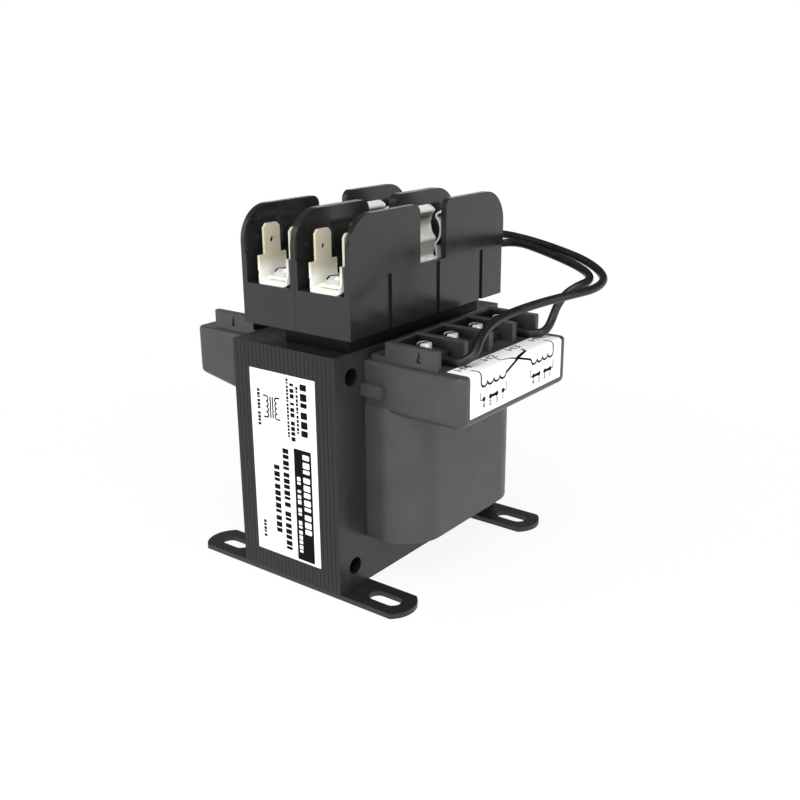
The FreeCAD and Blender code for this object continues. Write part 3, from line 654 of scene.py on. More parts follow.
@dataclass
class NodeDressing:
    """Finish of every CAD node that is carried over as it is."""

    def finishes(self) -> dict[str, Finish]:
        """Finish for each CAD node, by the start of its name."""
        return {
            "e_laminations": CORE_STEEL, "i_laminations": CORE_STEEL,
            "front_mounting_strap": STRAP_ENAMEL, "rear_mounting_strap": STRAP_ENAMEL,
            "coil_cover": COVER_NYLON, "winding_bobbin": BOBBIN_NYLON,
            "secondary_winding": HEAVY_COPPER, "primary_winding": FINE_COPPER,
            "winding_insulation": POLYESTER,
            "primary_terminal_block": BLOCK_PHENOLIC, "secondary_terminal_block": BLOCK_PHENOLIC,
            "primary_clamp": CLAMP_STEEL, "secondary_clamp": CLAMP_STEEL,
            "primary_terminal_screws": ZINC_STEEL, "secondary_terminal_screws": ZINC_STEEL,
            "fuse_block_spacer": SPACER_SHEET, "fuse_block_screws": ZINC_STEEL,
            "fuse_pole": FUSE_PLASTIC, "fuse_terminal_screws": ZINC_STEEL,
            "fuse_terminal": NICKEL_STRIP, "fuse_clip_rivets": NICKEL_STRIP,
            "fuse_clip": TIN_BRONZE, "fuse_pressure_plates": NICKEL_STRIP,
            "ring_terminal": TIN_CRIMP, "lead": LEAD_VINYL,
            "front_label": LABEL_WHITE, "primary_label": LABEL_WHITE,
        }

    def build(self) -> None:
        """Give every CAD node the finish of the longest name that it starts with."""
        table = self.finishes()
        for node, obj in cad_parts.items():
            key = max((name for name in table if node.startswith(name)), key=len)
            material = table[key].build()
            for slot in obj.material_slots:
                slot.material = material
            if not obj.material_slots:
                obj.data.materials.append(material)
            log.info("node %s in %s", node, material.name)


@dataclass(frozen=True)
class Bend:
    """One bend of a strip: half width and height of its corner, and its radius."""

    half_x: float
    z: float
    radius: float


class ClipEnd(Enum):
    """End of the fuse that a clip holds, with X and Z of the tips of its lips.

    The front lips are lower, so that they stay behind the front terminals.
    """

    FRONT = (4.3, 103.3)
    REAR = (5.9, 104.2)


@dataclass
class FuseClip:
    """Spring clip bent from one strip: foot, waist, round grip and flared lips."""

    pole: str
    end: ClipEnd
    bends: tuple[Bend, ...] = (
        Bend(4.75, 88.1, 1.0), Bend(3.49, 94.21, 0.9),
        Bend(7.78, 98.5, 5.5), Bend(3.49, 102.79, 0.6),
    )
    length: float = 10.0
    thickness: float = 0.6
    tip_round: float = 0.7
    edge: float = 0.08
    rows: int = 150
    columns: int = 6
    bend_steps: int = 8

    def half_line(self) -> list[Vector]:
        """Find the middle line of one side from the foot's centre to the tip.

        Returns:
            X and Z of points along it, with every bend as an arc.
        """
        corners = [Vector((0.0, self.bends[0].z))] + [Vector((b.half_x, b.z)) for b in self.bends]
        corners.append(Vector(self.end.value))
        line = [corners[0]]
        for before, corner, after, bend in zip(corners, corners[1:], corners[2:], self.bends):
            run_in = (corner - before).normalized()
            run_out = (after - corner).normalized()
            turn = run_in.angle(run_out)
            trim = bend.radius * math.tan(turn / 2)
            inward = (run_out - run_in).normalized()
            middle = corner + inward * (bend.radius / math.cos(turn / 2))
            spoke = corner - run_in * trim - middle
            turn = math.copysign(turn, run_in.cross(run_out))
            for step in range(self.bend_steps + 1):
                line.append(middle + Matrix.Rotation(turn * step / self.bend_steps, 2) @ spoke)
        line.append(corners[-1])
        return line

    def place(self, line: list[Vector], run: float) -> Vector:
        """Find the place on a line at a distance from its start.

        Args:
            line: Points along it.
            run: The distance.

        Returns:
            The place, or the line's end if it is shorter.
        """
        for a, b in zip(line, line[1:]):
            step = (b - a).length
            if run <= step:
                return a.lerp(b, run / step)
            run -= step
        return line[-1]

    def half_width(self, to_tip: float) -> float:
        """Half the strip's width at a distance from its tip, where its corners are rounded."""
        into = max(0.0, self.tip_round - to_tip)
        lost = self.tip_round - math.sqrt(max(0.0, self.tip_round ** 2 - into ** 2))
        return self.length / 2 - lost

    def build(self) -> None:
        """Cut the strip, round its ends, bend it to its profile and give it its thickness."""
        node = "fuse_clip_%s_%s" % (self.pole, self.end.name.lower())
        low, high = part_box(node)
        middle = (low + high) / 2 / MM
        line = self.half_line()
        reach = sum((b - a).length for a, b in zip(line, line[1:]))
        deselect()
        bpy.ops.mesh.primitive_grid_add(x_subdivisions=self.rows, y_subdivisions=self.columns,
                                        size=1)
        obj = bpy.context.object
        obj.name = node.replace("fuse_clip", "spring_clip")
        for vertex in obj.data.vertices:
            run = abs(vertex.co.x) * 2 * reach
            at = self.place(line, run)
            x = middle.x + math.copysign(at.x, vertex.co.x)
            y = middle.y + vertex.co.y * 2 * self.half_width(reach - run)
            vertex.co = Vector((x, y, at.y)) * MM
        apply_modifier(obj, "SOLIDIFY", thickness=self.thickness * MM, offset=0.0)
        soften(obj, self.edge)
        mount_piece(obj, TIN_BRONZE, "clip_plate", node)


@dataclass
class TerminalScrews:
    """Slotted pan head screws of one barrier strip, standing on their clamps.

    The slot is given as width and depth, the head's dome as shares of its radius and height.
    """

    node: str
    x: float
    bays: tuple[float, ...]
    seat_z: float = 71.8
    head_radius: float = 2.05
    head_height: float = 2.1
    shank_radius: float = 1.6
    shank_length: float = 3.0
    slot: tuple[float, float] = (1.25, 1.0)
    slot_turn_deg: float = 72.0
    dome: tuple[tuple[float, float], ...] = ((1.0, 0.8), (0.95, 0.91), (0.82, 0.97), (0.5, 1.0))
    edge: float = 0.05
    sharp_deg: float = 40.0
    sides: int = 48

    def grow(self, rise: float, scale: float) -> None:
        """Extrude the selected end of the screw up by a rise and scale its radius."""
        bpy.ops.mesh.extrude_region_move(TRANSFORM_OT_translate={"value": (0, 0, rise * MM)})
        bpy.ops.transform.resize(value=(scale, scale, 1))

    def turned(self) -> Object:
        """Turn shank and domed head from a round bar.

        Returns:
            The screw without its slot, its head's underside at Z 0.
        """
        deselect()
        bpy.ops.mesh.primitive_circle_add(
            vertices=self.sides, radius=self.shank_radius * MM, fill_type="NGON",
            location=(0, 0, -self.shank_length * MM))
        obj = bpy.context.object
        bpy.ops.object.mode_set(mode="EDIT")
        bpy.ops.mesh.select_all(action="SELECT")
        self.grow(self.shank_length, 1.0)
        self.grow(0.0, self.head_radius / self.shank_radius)
        before, height = 1.0, 0.0
        for share, level in self.dome:
            self.grow((level - height) * self.head_height, share / before)
            before, height = share, level
        bpy.ops.mesh.select_all(action="SELECT")
        bpy.ops.mesh.normals_make_consistent(inside=False)
        bpy.ops.object.mode_set(mode="OBJECT")
        place_in_mesh(obj, obj.matrix_world.copy())
        return obj

    def cut_slot(self, obj: Object) -> None:
        """Cut the driver slot across the head of a screw that stands on the origin."""
        width, depth = self.slot
        bpy.ops.mesh.primitive_cube_add(size=MM, location=(0, 0, self.head_height * MM))
        cutter = bpy.context.object
        bpy.ops.transform.resize(value=(self.head_radius * 3, width, depth * 2))
        apply_modifier(obj, "BOOLEAN", object=cutter, operation="DIFFERENCE", solver="EXACT")
        bpy.data.objects.remove(cutter)

    def build(self) -> None:
        """Make one screw, set a copy of it in each bay and join them."""
        first = self.turned()
        self.cut_slot(first)
        soften(first, self.edge, self.sharp_deg)
        screws = [first]
        for _ in self.bays[1:]:
            extra = first.copy()
            extra.data = first.data.copy()
            bpy.context.collection.objects.link(extra)
            screws.append(extra)
        for screw, y in zip(screws, self.bays):
            seat = Matrix.Translation(Vector((self.x, y, self.seat_z)) * MM)
            place_in_mesh(screw, seat @ Matrix.Rotation(math.radians(self.slot_turn_deg), 4, "Z"))
        heads = join(screws, self.node.replace("screws", "screw_heads"))
        mount_piece(heads, ZINC_STEEL, "terminal_screw", self.node)


@dataclass
class SpacerStrip:
    """Punched strip between the core and the fuse block, with rounded rear corners."""

    y_end: float = 29.4
    corner: float = 1.5
    corner_steps: int = 8
    edge: float = 0.1

    def round_rear(self, obj: Object) -> None:
        """Round the two upright edges at the rear of the strip.

        Args:
            obj: The strip as a plain block.
        """
        mesh = obj.data
        for item in (*mesh.vertices, *mesh.polygons):
            item.select = False
        for line in mesh.edges:
            a, b = (mesh.vertices[i].co for i in line.vertices)
            line.select = a.y > 0 and b.y > 0 and abs(a.z - b.z) > abs(a.x - b.x)
        bpy.context.tool_settings.mesh_select_mode = (False, True, False)
        bpy.ops.object.mode_set(mode="EDIT")
        bpy.ops.mesh.bevel(offset=self.corner * MM, segments=self.corner_steps)
        bpy.ops.object.mode_set(mode="OBJECT")

    def build(self) -> None:
        """Shape a block to the strip's size, round its rear corners and soften its edges."""
        low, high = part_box("fuse_block_spacer")
        far = Vector((high.x, self.y_end * MM, high.z))
        deselect()
        bpy.ops.mesh.primitive_cube_add(size=1)
        obj = bpy.context.object
        obj.name = "spacer_strip"
        bpy.ops.object.mode_set(mode="EDIT")
        bpy.ops.transform.resize(value=far - low)
        bpy.ops.transform.translate(value=(far + low) / 2)
        bpy.ops.object.mode_set(mode="OBJECT")
        self.round_rear(obj)
        soften(obj, self.edge)
        mount_piece(obj, SPACER_SHEET, "spacer_plastic", "fuse_block_spacer")


@dataclass
class Lead:
    """One free hook-up wire from the fuse block's rear to a primary terminal."""

    name: str
    node: str
    length: float
    route: tuple[tuple[float, float, float], ...]
    diameter: float = 2.5

    def build(self) -> None:
        curve = bpy.data.curves.new(self.name, "CURVE")
        curve.dimensions = "3D"
        curve.resolution_u = 24
        curve.bevel_depth = self.diameter / 2 * MM
        curve.bevel_resolution = 8
        curve.use_fill_caps = True
        spline = curve.splines.new("NURBS")
        spline.points.add(len(self.route) - 1)
        for point, place in zip(spline.points, self.route):
            point.co = (*(Vector(place) * MM), 1.0)
        spline.order_u = 3
        spline.use_endpoint_u = True
        wire = bpy.data.objects.new(self.name, curve)
        bpy.context.collection.objects.link(wire)
        mount_piece(wire, LEAD_VINYL, "lead_insulation", self.node)


# From the rear of the fuse block round to the front primary terminal H4
OUTER_LEAD = Lead("lead_to_h4", "lead_h4", 140.5, (
    (-6.173, 40.957, 89.55), (-4.5, 43.9, 89.9), (-0.8, 47.5, 90.9), (5.2, 50.2, 92.0),
    (13.5, 51.0, 92.6), (24.5, 49.6, 91.8), (36.5, 47.6, 90.1), (48.5, 45.2, 87.7),
    (57.0, 40.0, 84.8), (58.7, 31.5, 83.1), (54.6, 22.3, 82.2), (49.2, 13.2, 80.7),
    (45.5, 4.2, 79.1), (44.8, -4.4, 77.7), (45.8, -11.2, 75.4), (46.9, -14.4, 73.2),
    (46.9, -16.2, 71.9), (46.0, -17.9, 70.7), (43.9, -18.9, 70.0), (41.1, -19.05, 69.9),
    (38.3, -19.05, 69.9),
))
# From the rear of the fuse block to the rear primary terminal H1
INNER_LEAD = Lead("lead_to_h1", "lead_h1", 78.2, (
    (13.227, 40.957, 89.55), (14.5, 43.9, 89.9), (18.0, 46.8, 90.6), (23.2, 47.3, 90.8),
    (29.5, 46.4, 89.8), (38.0, 44.7, 88.2), (46.2, 42.8, 86.4), (51.4, 40.2, 84.9),
    (53.5, 36.3, 83.8), (51.7, 32.4, 82.8), (49.2, 29.6, 80.6), (47.7, 27.6, 77.3),
    (47.3, 25.9, 73.9), (47.4, 23.4, 71.4), (46.6, 20.9, 70.1), (44.1, 19.3, 69.9),
    (41.1, 19.05, 69.9), (38.3, 19.05, 69.9),
))


def core_front(level: float) -> Matrix:
    """Matrix that carries flat print (X along, Y up, Z out) onto the front of the core.

    Args:
        level: How far the plane lies towards -Y, in metres.

    Returns:
        The matrix.
    """
    along, up, out = Vector((1, 0, 0)), Vector((0, 0, 1)), Vector((0, -1, 0))
    turn = Matrix((along, up, out)).transposed().to_4x4()
    return Matrix.Translation(out * level) @ turn


@dataclass(frozen=True)
class Fold:
    """Rounded fold of a label over an edge along Y.

    The flat print has its Y at 0 where the fold begins, positive on the top strip and
    negative below.
    """

    start_x: float
    end_z: float
    radius: float
    steps: int = 6

    def length(self) -> float:
        """Length of the film round the fold."""
        return self.radius * math.pi / 2

    def on_top(self, x: float) -> float:
        """Flat Y of a place on the top strip."""
        return self.start_x - x

    def on_face(self, z: float) -> float:
        """Flat Y of a place on the front face."""
        return z - self.end_z - self.length()

    def cut(self, piece: Object) -> None:
        """Cut the flat print across where it will bend.

        Args:
            piece: The print.
        """
        activate(piece)
        bpy.ops.object.mode_set(mode="EDIT")
        for step in range(self.steps + 1):
            bpy.ops.mesh.select_all(action="SELECT")
            bpy.ops.mesh.bisect(plane_co=(0, -self.length() * step / self.steps * MM, 0),
                                plane_no=(0, 1, 0))
        bpy.ops.object.mode_set(mode="OBJECT")

    def wrap(self, piece: Object) -> None:
        """Lay the flat print over the edge.

        Args:
            piece: The print.
        """
        self.cut(piece)
        for vertex in piece.data.vertices:
            side, up, rise = vertex.co / MM
            run = -up
            angle = min(max(run / self.radius, 0.0), math.pi / 2)
            reach = self.radius + rise
            x = self.start_x + reach * math.sin(angle) + min(run, 0.0)
            z = self.end_z + reach * math.cos(angle) - max(run - self.length(), 0.0)
            vertex.co = Vector((x, side, z)) * MM


@dataclass
class Print:
    """Thin raised print, drawn flat in millimetres and then laid on a plane or over a fold."""

    name: str
    place: Matrix | Fold
    thickness: float = INK_MM

    def __post_init__(self) -> None:
        """Start with no pieces."""
        self.pieces: list[Object] = []

    def bars(self, boxes: list[tuple[float, float, float, float]], corner: float) -> None:
        """Add rectangles with rounded corners.

        Args:
            boxes: Low X, low Y, high X and high Y of each.
            corner: Radius of the corners.
        """
        deselect()
        bpy.ops.mesh.primitive_plane_add(size=1)
        obj = bpy.context.object
        bpy.ops.object.mode_set(mode="EDIT")
        bpy.ops.mesh.delete(type="VERT")
        for x0, y0, x1, y1 in boxes:
            bpy.ops.mesh.select_all(action="DESELECT")
            bpy.ops.mesh.primitive_plane_add(size=MM)
            bpy.ops.transform.resize(value=(x1 - x0, y1 - y0, 1))
            bpy.ops.transform.translate(value=((x0 + x1) / 2 * MM, (y0 + y1) / 2 * MM, 0))
            bpy.ops.mesh.bevel(offset=corner * MM, segments=4, affect="VERTICES")
        thicken(self.thickness)
        bpy.ops.object.mode_set(mode="OBJECT")
        self.pieces.append(obj)

    def line(self, points: list[tuple[float, float]], width: float) -> None:
        """Add a line of even width along straight runs.

        Args:
            points: X and Y of its corners.
            width: Width of the line.
        """
        curve = bpy.data.curves.new(self.name, "CURVE")
        curve.dimensions = "3D"
        curve.bevel_depth = width / 2 * MM
        curve.bevel_resolution = 2
        curve.use_fill_caps = True
        spline = curve.splines.new("POLY")
        spline.points.add(len(points) - 1)
        for point, (x, y) in zip(spline.points, points):
            point.co = (x * MM, y * MM, 0, 1)
        obj = bpy.data.objects.new(self.name, curve)
        bpy.context.collection.objects.link(obj)
        activate(obj)
        bpy.ops.object.convert(target="MESH")
        rise = Matrix.Translation((0, 0, self.thickness / 2 * MM))
        place_in_mesh(obj, rise @ Matrix.Diagonal((1, 1, self.thickness / width, 1)))
        self.pieces.append(obj)

    def dot(self, x: float, y: float, radius: float) -> None:
        """Add a round dot.

        Args:
            x: Its centre along X.
            y: Its centre along Y.
            radius: Its radius.
        """
        deselect()
        bpy.ops.mesh.primitive_circle_add(vertices=20, radius=radius * MM, fill_type="NGON",
                                          location=(x * MM, y * MM, 0))
        obj = bpy.context.object
        bpy.ops.object.mode_set(mode="EDIT")
        thicken(self.thickness)
        bpy.ops.object.mode_set(mode="OBJECT")
        place_in_mesh(obj, obj.matrix_world.copy())
        self.pieces.append(obj)

    def mark(self, text: str, x: float, y: float, height: float, widen: float) -> None:
        """Add a terminal mark centred on a place.

        Args:
            text: The mark.
            x: Its centre along X.
            y: Its centre along Y.
            height: Height of its letters.
            widen: How much wider than drawn they are.
        """
        deselect()
        bpy.ops.object.text_add()
        obj = bpy.context.object
        obj.data.body = text
        obj.data.align_x = "CENTER"
        obj.data.align_y = "CENTER"
        obj.data.size = height * TEXT_SIZE * MM
        obj.data.extrude = self.thickness / 2 * MM
        bpy.ops.object.convert(target="MESH")
        bpy.ops.object.mode_set(mode="EDIT")
        bpy.ops.mesh.select_all(action="SELECT")
        bpy.ops.mesh.remove_doubles(threshold=0.001 * MM)
        bpy.ops.object.mode_set(mode="OBJECT")
        centre = Matrix.Translation((x * MM, y * MM, self.thickness / 2 * MM))
        place_in_mesh(obj, centre @ Matrix.Diagonal((widen, 1, 1, 1)))
        self.pieces.append(obj)

    def finish(self, finish: Finish) -> None:
        """Join the pieces, lay them on the label and mount them.

        Args:
            finish: What they are printed in.
        """
        piece = join(self.pieces, self.name)
        if isinstance(self.place, Fold):
            self.place.wrap(piece)
        else:
            place_in_mesh(piece, self.place)
        mount_piece(piece, finish, "label_film")


def coil_loops(count: int, length: float, depth: float) -> list[tuple[float, float]]:
    """Half-round loops of a winding as a circuit diagram shows them.

    Args:
        count: Number of loops.
        length: Length of one loop along the winding.
        depth: How far the loops stand out.

    Returns:
        Distance along the winding and out of it, for points along the loops.
    """
    points = []
    for i in range(count):
        for step in range(LOOP_STEPS + 1):
            angle = math.pi * step / LOOP_STEPS
            points.append((length * (i + (1 - math.cos(angle)) / 2), depth * math.sin(angle)))
    return points


@dataclass
class ShelfPrint:
    """Print of the primary label: terminal marks, the two windings, and the jumper pairs."""

    marks: tuple[str, ...] = ("H4", "H2", "H3", "H1")
    numbers: str = "4231"
    line_width: float = 0.6
    link_width: float = 0.85
    tick_width: float = 0.34
    bay: float = 12.7
    fold_radius: float = 1.15
    mark_x: float = 45.9
    mark_y: float = -0.3
    mark_height: float = 2.5
    mark_widen: float = 1.5
    lead_x: float = 48.3
    coil_z: float = 65.6
    loop_length: float = 3.1
    loop_depth: float = 1.25
    dot_z: float = 60.8
    dot_radius: float = 0.7
    dot_pitch: float = 3.2
    tick_top_z: float = 62.95
    tick_out: float = 1.6
    number_z: float = 59.0
    number_height: float = 1.5
    number_widen: float = 1.3

    def __post_init__(self) -> None:
        """Start the print on the label's fold."""
        _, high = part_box("primary_label")
        self.fold = Fold(high.x / MM - self.fold_radius, high.z / MM - self.fold_radius,
                         self.fold_radius)
        self.ink = Print("primary_print", self.fold)

    def loops(self, start: float) -> list[tuple[float, float]]:
        """Four hanging loops of a winding from a start along Y."""
        return [(start + along, self.fold.on_face(self.coil_z - out))
                for along, out in coil_loops(4, self.loop_length, self.loop_depth)]

    def jumpers(self, start: float, pairs: tuple[tuple[int, int], ...]) -> None:
        """Draw a row of four numbered terminals with the linked ones joined.

        Args:
            start: Y of the first terminal.
            pairs: Places of the terminals that a link joins.
        """
        places = [start + i * self.dot_pitch for i in range(len(self.numbers))]
        level = self.fold.on_face(self.dot_z)
        tick = self.fold.on_face(self.tick_top_z)
        number_level = self.fold.on_face(self.number_z)
        for place, number in zip(places, self.numbers):
            self.ink.dot(place, level, self.dot_radius)
            self.ink.mark(number, place, number_level, self.number_height, self.number_widen)
        for a, b in pairs:
            self.ink.line([(places[a], level), (places[b], level)], self.link_width)
        for end, side in ((places[0], -1), (places[-1], 1)):
            out = end + side * self.tick_out
            self.ink.line([(out, tick), (out, level), (end, level)], self.tick_width)

    def windings(self, bays: list[float]) -> None:
        """Draw both windings and their four leads, which cross the fold.

        Args:
            bays: Y of the terminals from left to right.
        """
        top = self.fold.on_top(self.lead_x)
        edge = -self.fold.length() / 2
        coil = self.fold.on_face(self.coil_z)
        h4, h2, h3, h1 = bays
        left = self.loops(h4 - 0.1)
        right = self.loops(h3 + 0.6)
        self.ink.line([(h4 - 0.4, top), (h4 - 0.2, edge), (h4 - 0.1, coil + 0.5)] + left,
                      self.line_width)
        self.ink.line([left[-1], (0.1, edge), (h3 - 0.9, top - 1.9), (h3 + 0.3, top)],
                      self.link_width)
        self.ink.line([(h2 + 0.5, top + 0.9), (h2, top - 1.1), (h2 + 2.3, edge + 0.9),
                       (-1.4, edge), (h3 - 0.1, coil + 0.6)] + right, self.line_width)
        self.ink.line([right[-1], (h1 + 0.3, coil + 1.0), (h1 + 0.1, edge), (h1 - 0.3, top)],
                      self.line_width)

    def build(self) -> None:
        """Draw the marks, the windings and the jumper rows for both supply voltages."""
        bays = [(i - 1.5) * self.bay for i in range(len(self.marks))]
        for name, y in zip(self.marks, bays):
            self.ink.mark(name, y + self.mark_y, self.fold.on_top(self.mark_x),
                          self.mark_height, self.mark_widen)
        self.windings(bays)
        self.jumpers(-17.7, ((1, 2),))
        self.jumpers(8.3, ((0, 1), (2, 3)))
        self.ink.finish(LABEL_BLACK)


@dataclass(frozen=True)
class PrintRow:
    """Row of small printed blocks that reads downwards.

    It is given by its middle along X, its upper end, the blocks in each group, its width, the
    space that a block takes and the radius of the blocks' corners. A gap ends each group.
    """

    x: float
    top: float
    groups: tuple[int, ...]
    width: float
    pitch: float
    corner: float
    fills: tuple[float, ...] = (0.8, 0.68, 0.8, 0.5, 0.74)
    gap: float = 0.6

    def draw(self, ink: Print) -> None:
        """Add the row's blocks to a print.

        Args:
            ink: The print.
        """
        boxes = []
        top = self.top
        for count in self.groups:
            for i in range(count):
                block = self.fills[(i + count) % len(self.fills)] * self.pitch
                boxes.append((self.x - self.width / 2, top - block, self.x + self.width / 2, top))
                top -= self.pitch
            top -= self.gap * self.pitch
        ink.bars(boxes, self.corner)


@dataclass
class FrontPrint:
    """Print of the core's label: plain fields, rows of small blocks, a transformer symbol."""

    band: tuple[float, float, float, float] = (3.2, 8.6, 9.7, 43.1)
    band_corner: float = 0.3
    line_width: float = 0.5
    large: tuple[PrintRow, ...] = (
        PrintRow(-0.1, 42.2, (10, 7), 2.3, 1.85, 0.2), PrintRow(-3.85, 36.4, (11,), 2.2, 1.99, 0.2),
        PrintRow(7.6, 62.6, (6,), 2.4, 2.7, 0.3), PrintRow(3.3, 62.2, (3, 3, 4), 1.5, 1.55, 0.15),
    )
    small: tuple[PrintRow, ...] = (
        PrintRow(5.2, 61.6, (12,), 0.8, 1.2, 0.1), PrintRow(1.6, 63.4, (17,), 0.8, 1.05, 0.1),
        PrintRow(-9.7, 58.4, (6, 4), 1.1, 1.05, 0.1), PrintRow(-9.7, 17.6, (5,), 1.1, 1.15, 0.1),
    )
    light: tuple[PrintRow, ...] = (
        PrintRow(7.7, 41.9, (11,), 2.5, 2.3, 0.3),
        PrintRow(4.7, 34.7, (2, 3, 2, 7), 1.3, 1.55, 0.15),
    )
    symbol_at: tuple[float, float] = (-4.7, 53.6)
    symbol_half: float = 3.2
    symbol_lead: float = 3.2
    coil_out: float = 2.1
    loop_depth: float = 0.8
    core_out: float = 0.45

    def symbol(self, ink: Print) -> None:
        """Draw two windings that face each other across the core lines.

        Args:
            ink: The print that gets the symbol.
        """
        x, z = self.symbol_at
        top, foot = z + self.symbol_half, z - self.symbol_half
        for side in (-1, 1):
            lead = x + side * self.symbol_lead
            loops = [(x + side * (self.coil_out - out), top - along)
                     for along, out in coil_loops(4, self.symbol_half / 2, self.loop_depth)]
            ink.line([(lead, top)] + loops + [(lead, foot)], self.line_width)
            core = x + side * self.core_out
            ink.line([(core, top), (core, foot)], self.line_width)

    def build(self) -> None:
        """Print the black field and rows, and the light rows on the field."""
        surface = -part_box("front_label")[0].y
        black = Print("front_print_black", core_front(surface))
        black.bars([self.band], self.band_corner)
        for row in self.large:
            row.draw(black)
        self.symbol(black)
        black.finish(LABEL_BLACK)
        small = Print("front_print_small", core_front(surface))
        for row in self.small:
            row.draw(small)
        small.finish(LABEL_BLACK)
        light = Print("front_print_light", core_front(surface + INK_MM * MM), LIGHT_INK_MM)
        for row in self.light:
            row.draw(light)
        light.finish(LABEL_WHITE)


@dataclass(frozen=True)
class Lamp:
    """Soft square lamp: place and size in metres, power in watts."""

    name: str
    place: tuple[float, float, float]
    power: float
    size: float

    def build(self, target: Vector) -> None:
        """Hang the lamp and aim it at a target.

        Args:
            target: Where it shines, in metres.
        """
        deselect()
        bpy.ops.object.light_add(type="AREA", location=self.place)
        obj = bpy.context.object
        obj.name = self.name
        obj.data.energy = self.power
        obj.data.size = self.size
        aim = target - Vector(self.place)
        obj.rotation_euler = aim.to_track_quat("-Z", "Y").to_euler()


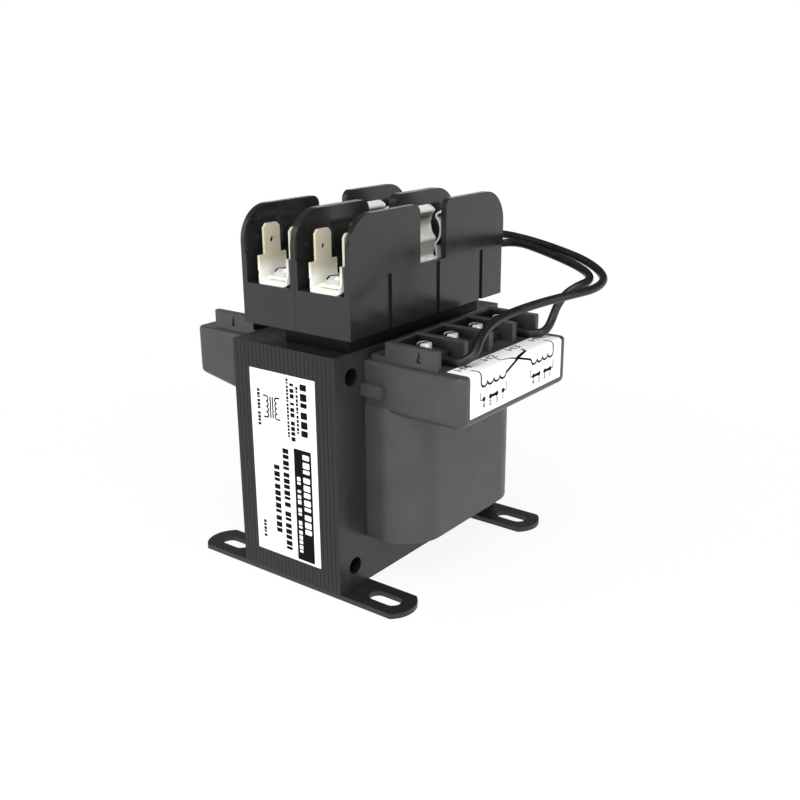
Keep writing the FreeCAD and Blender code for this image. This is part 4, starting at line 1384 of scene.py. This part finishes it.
@dataclass
class Studio:
    """Pale floor, white surround and soft lamps at about the height of the object, in metres."""

    floor_size: float = 6.0
    clear_radius: float = 0.09
    fade: float = 0.12
    near_show: float = 0.9
    fill: tuple[float, float] = (0.95, 0.5)
    fill_heights: tuple[float, float] = (0.05, 0.55)
    mirror: tuple[float, float] = (1.0, 0.12)
    mirror_heights: tuple[float, float] = (0.06, 0.3)
    target: tuple[float, float, float] = (0.0, 0.0, 0.055)
    lamps: tuple[Lamp, ...] = (
        Lamp("right_lamp", (0.72, -0.22, 0.3), 1.9, 0.5),
        Lamp("front_lamp", (0.05, -0.75, 0.3), 1.4, 0.5),
        Lamp("left_lamp", (-0.65, -0.35, 0.35), 1.0, 0.5),
        Lamp("top_lamp", (0.2, -0.35, 0.72), 3.8, 0.55),
    )

    def floor(self) -> None:
        """Pale floor that keeps a soft shadow near the object and shows as white further out."""
        deselect()
        bpy.ops.mesh.primitive_plane_add(size=self.floor_size)
        obj = bpy.context.object
        obj.name = "studio_floor"
        material = bpy.data.materials.new("studio_floor_paper")
        material.use_nodes = True
        tree = material.node_tree
        tree.nodes.clear()
        paper = add_node(tree, "ShaderNodeBsdfDiffuse", {"Color": linear("#f2f2f2")})
        glow = add_node(tree, "ShaderNodeEmission", {"Color": linear(WHITE), "Strength": 1.0})
        place = add_node(tree, "ShaderNodeTexCoord").outputs["Object"]
        away = add_node(tree, "ShaderNodeVectorMath", {0: place},
                        operation="LENGTH").outputs["Value"]
        show = add_node(tree, "ShaderNodeMapRange", {
            "Value": away, "From Min": self.clear_radius,
            "From Max": self.clear_radius + self.fade,
            "To Min": self.near_show, "To Max": 1.0}).outputs["Result"]
        share = add_node(tree, "ShaderNodeMath", {0: self.seen(tree), 1: show},
                         operation="MULTIPLY").outputs["Value"]
        mixed = add_node(tree, "ShaderNodeMixShader", {
            0: share, 1: paper.outputs["BSDF"], 2: glow.outputs["Emission"]})
        add_node(tree, "ShaderNodeOutputMaterial", {"Surface": mixed.outputs["Shader"]})
        obj.data.materials.append(material)

    def seen(self, tree: NodeTree) -> NodeSocket:
        """Find which rays see the white background.

        Args:
            tree: Node tree of the floor's material or the world.

        Returns:
            1 for rays from the camera, a reflection or glass, else 0.
        """
        path = add_node(tree, "ShaderNodeLightPath").outputs
        either = add_node(tree, "ShaderNodeMath", {
            0: path["Is Camera Ray"], 1: path["Is Glossy Ray"]}, operation="MAXIMUM")
        return add_node(tree, "ShaderNodeMath", {
            0: either.outputs["Value"], 1: path["Is Transmission Ray"]},
            operation="MAXIMUM").outputs["Value"]

    def surround(self) -> None:
        """White world that lights the sides most, and mirrors as white only near the horizon."""
        world = bpy.data.worlds.new("studio_world")
        world.use_nodes = True
        tree = world.node_tree
        tree.nodes.clear()
        direction = add_node(tree, "ShaderNodeTexCoord").outputs["Generated"]
        height = add_node(tree, "ShaderNodeSeparateXYZ", {"Vector": direction}).outputs["Z"]
        fill, mirrored = (add_node(tree, "ShaderNodeMapRange", {
            "Value": height, "From Min": heights[0], "From Max": heights[1],
            "To Min": strengths[0], "To Max": strengths[1]}).outputs["Result"]
            for heights, strengths in ((self.fill_heights, self.fill),
                                       (self.mirror_heights, self.mirror)))
        light = add_node(tree, "ShaderNodeBackground", {"Color": linear(WHITE), "Strength": fill})
        camera = add_node(tree, "ShaderNodeLightPath").outputs["Is Camera Ray"]
        shown = add_node(tree, "ShaderNodeMath", {0: camera, 1: mirrored},
                         operation="MAXIMUM").outputs["Value"]
        white = add_node(tree, "ShaderNodeBackground", {"Color": linear(WHITE), "Strength": shown})
        mixed = add_node(tree, "ShaderNodeMixShader", {
            0: self.seen(tree), 1: light.outputs["Background"], 2: white.outputs["Background"]})
        add_node(tree, "ShaderNodeOutputWorld", {"Surface": mixed.outputs["Shader"]})
        bpy.context.scene.world = world

    def build(self) -> None:
        """Set the whole studio up."""
        self.floor()
        self.surround()
        for lamp in self.lamps:
            lamp.build(Vector(self.target))


@dataclass
class Viewpoint:
    """Camera at the photograph's viewing angle."""

    target: tuple[float, float, float] = (4.87, 6.48, 45.06)
    distance: float = 317.5
    azimuth_deg: float = 37.41
    elevation_deg: float = 18.29
    roll_deg: float = -0.47
    lens: float = 45.29
    sensor: float = 36.0

    def pose(self) -> Matrix:
        """Find the camera's place and turn.

        Returns:
            Its matrix, in metres.
        """
        around, above = math.radians(self.azimuth_deg), math.radians(self.elevation_deg)
        back = Vector((math.sin(around) * math.cos(above), -math.cos(around) * math.cos(above),
                       math.sin(above)))
        level = Vector((math.cos(around), math.sin(around), 0))
        turn = Matrix.Rotation(math.radians(self.roll_deg), 3, back)
        axes = Matrix((turn @ level, turn @ back.cross(level), back)).transposed().to_4x4()
        return Matrix.Translation((Vector(self.target) + back * self.distance) * MM) @ axes

    def build(self) -> None:
        """Place the camera and make it the scene's."""
        deselect()
        bpy.ops.object.camera_add()
        camera = bpy.context.object
        camera.name = "product_camera"
        camera.data.lens = self.lens
        camera.data.sensor_width = self.sensor
        camera.data.clip_start = 0.01
        camera.matrix_world = self.pose()
        bpy.context.scene.camera = camera


def main() -> None:
    """Build the scene in order: camera and leads, then finishes, print and studio."""
    logging.basicConfig(level=logging.INFO, format="%(message)s")
    Viewpoint().build()
    OUTER_LEAD.build()
    INNER_LEAD.build()
    NodeDressing().build()
    for pole in ("left", "right"):
        for end in ClipEnd:
            FuseClip(pole, end).build()
    TerminalScrews("primary_terminal_screws", 32.9, (-19.05, -6.35, 6.35, 19.05)).build()
    TerminalScrews("secondary_terminal_screws", -32.9, (-19.05, 19.05)).build()
    SpacerStrip().build()
    ShelfPrint().build()
    FrontPrint().build()
    Studio().build()
    bpy.context.scene.view_settings.view_transform = "Standard"


if __name__ == "__main__":
    main()
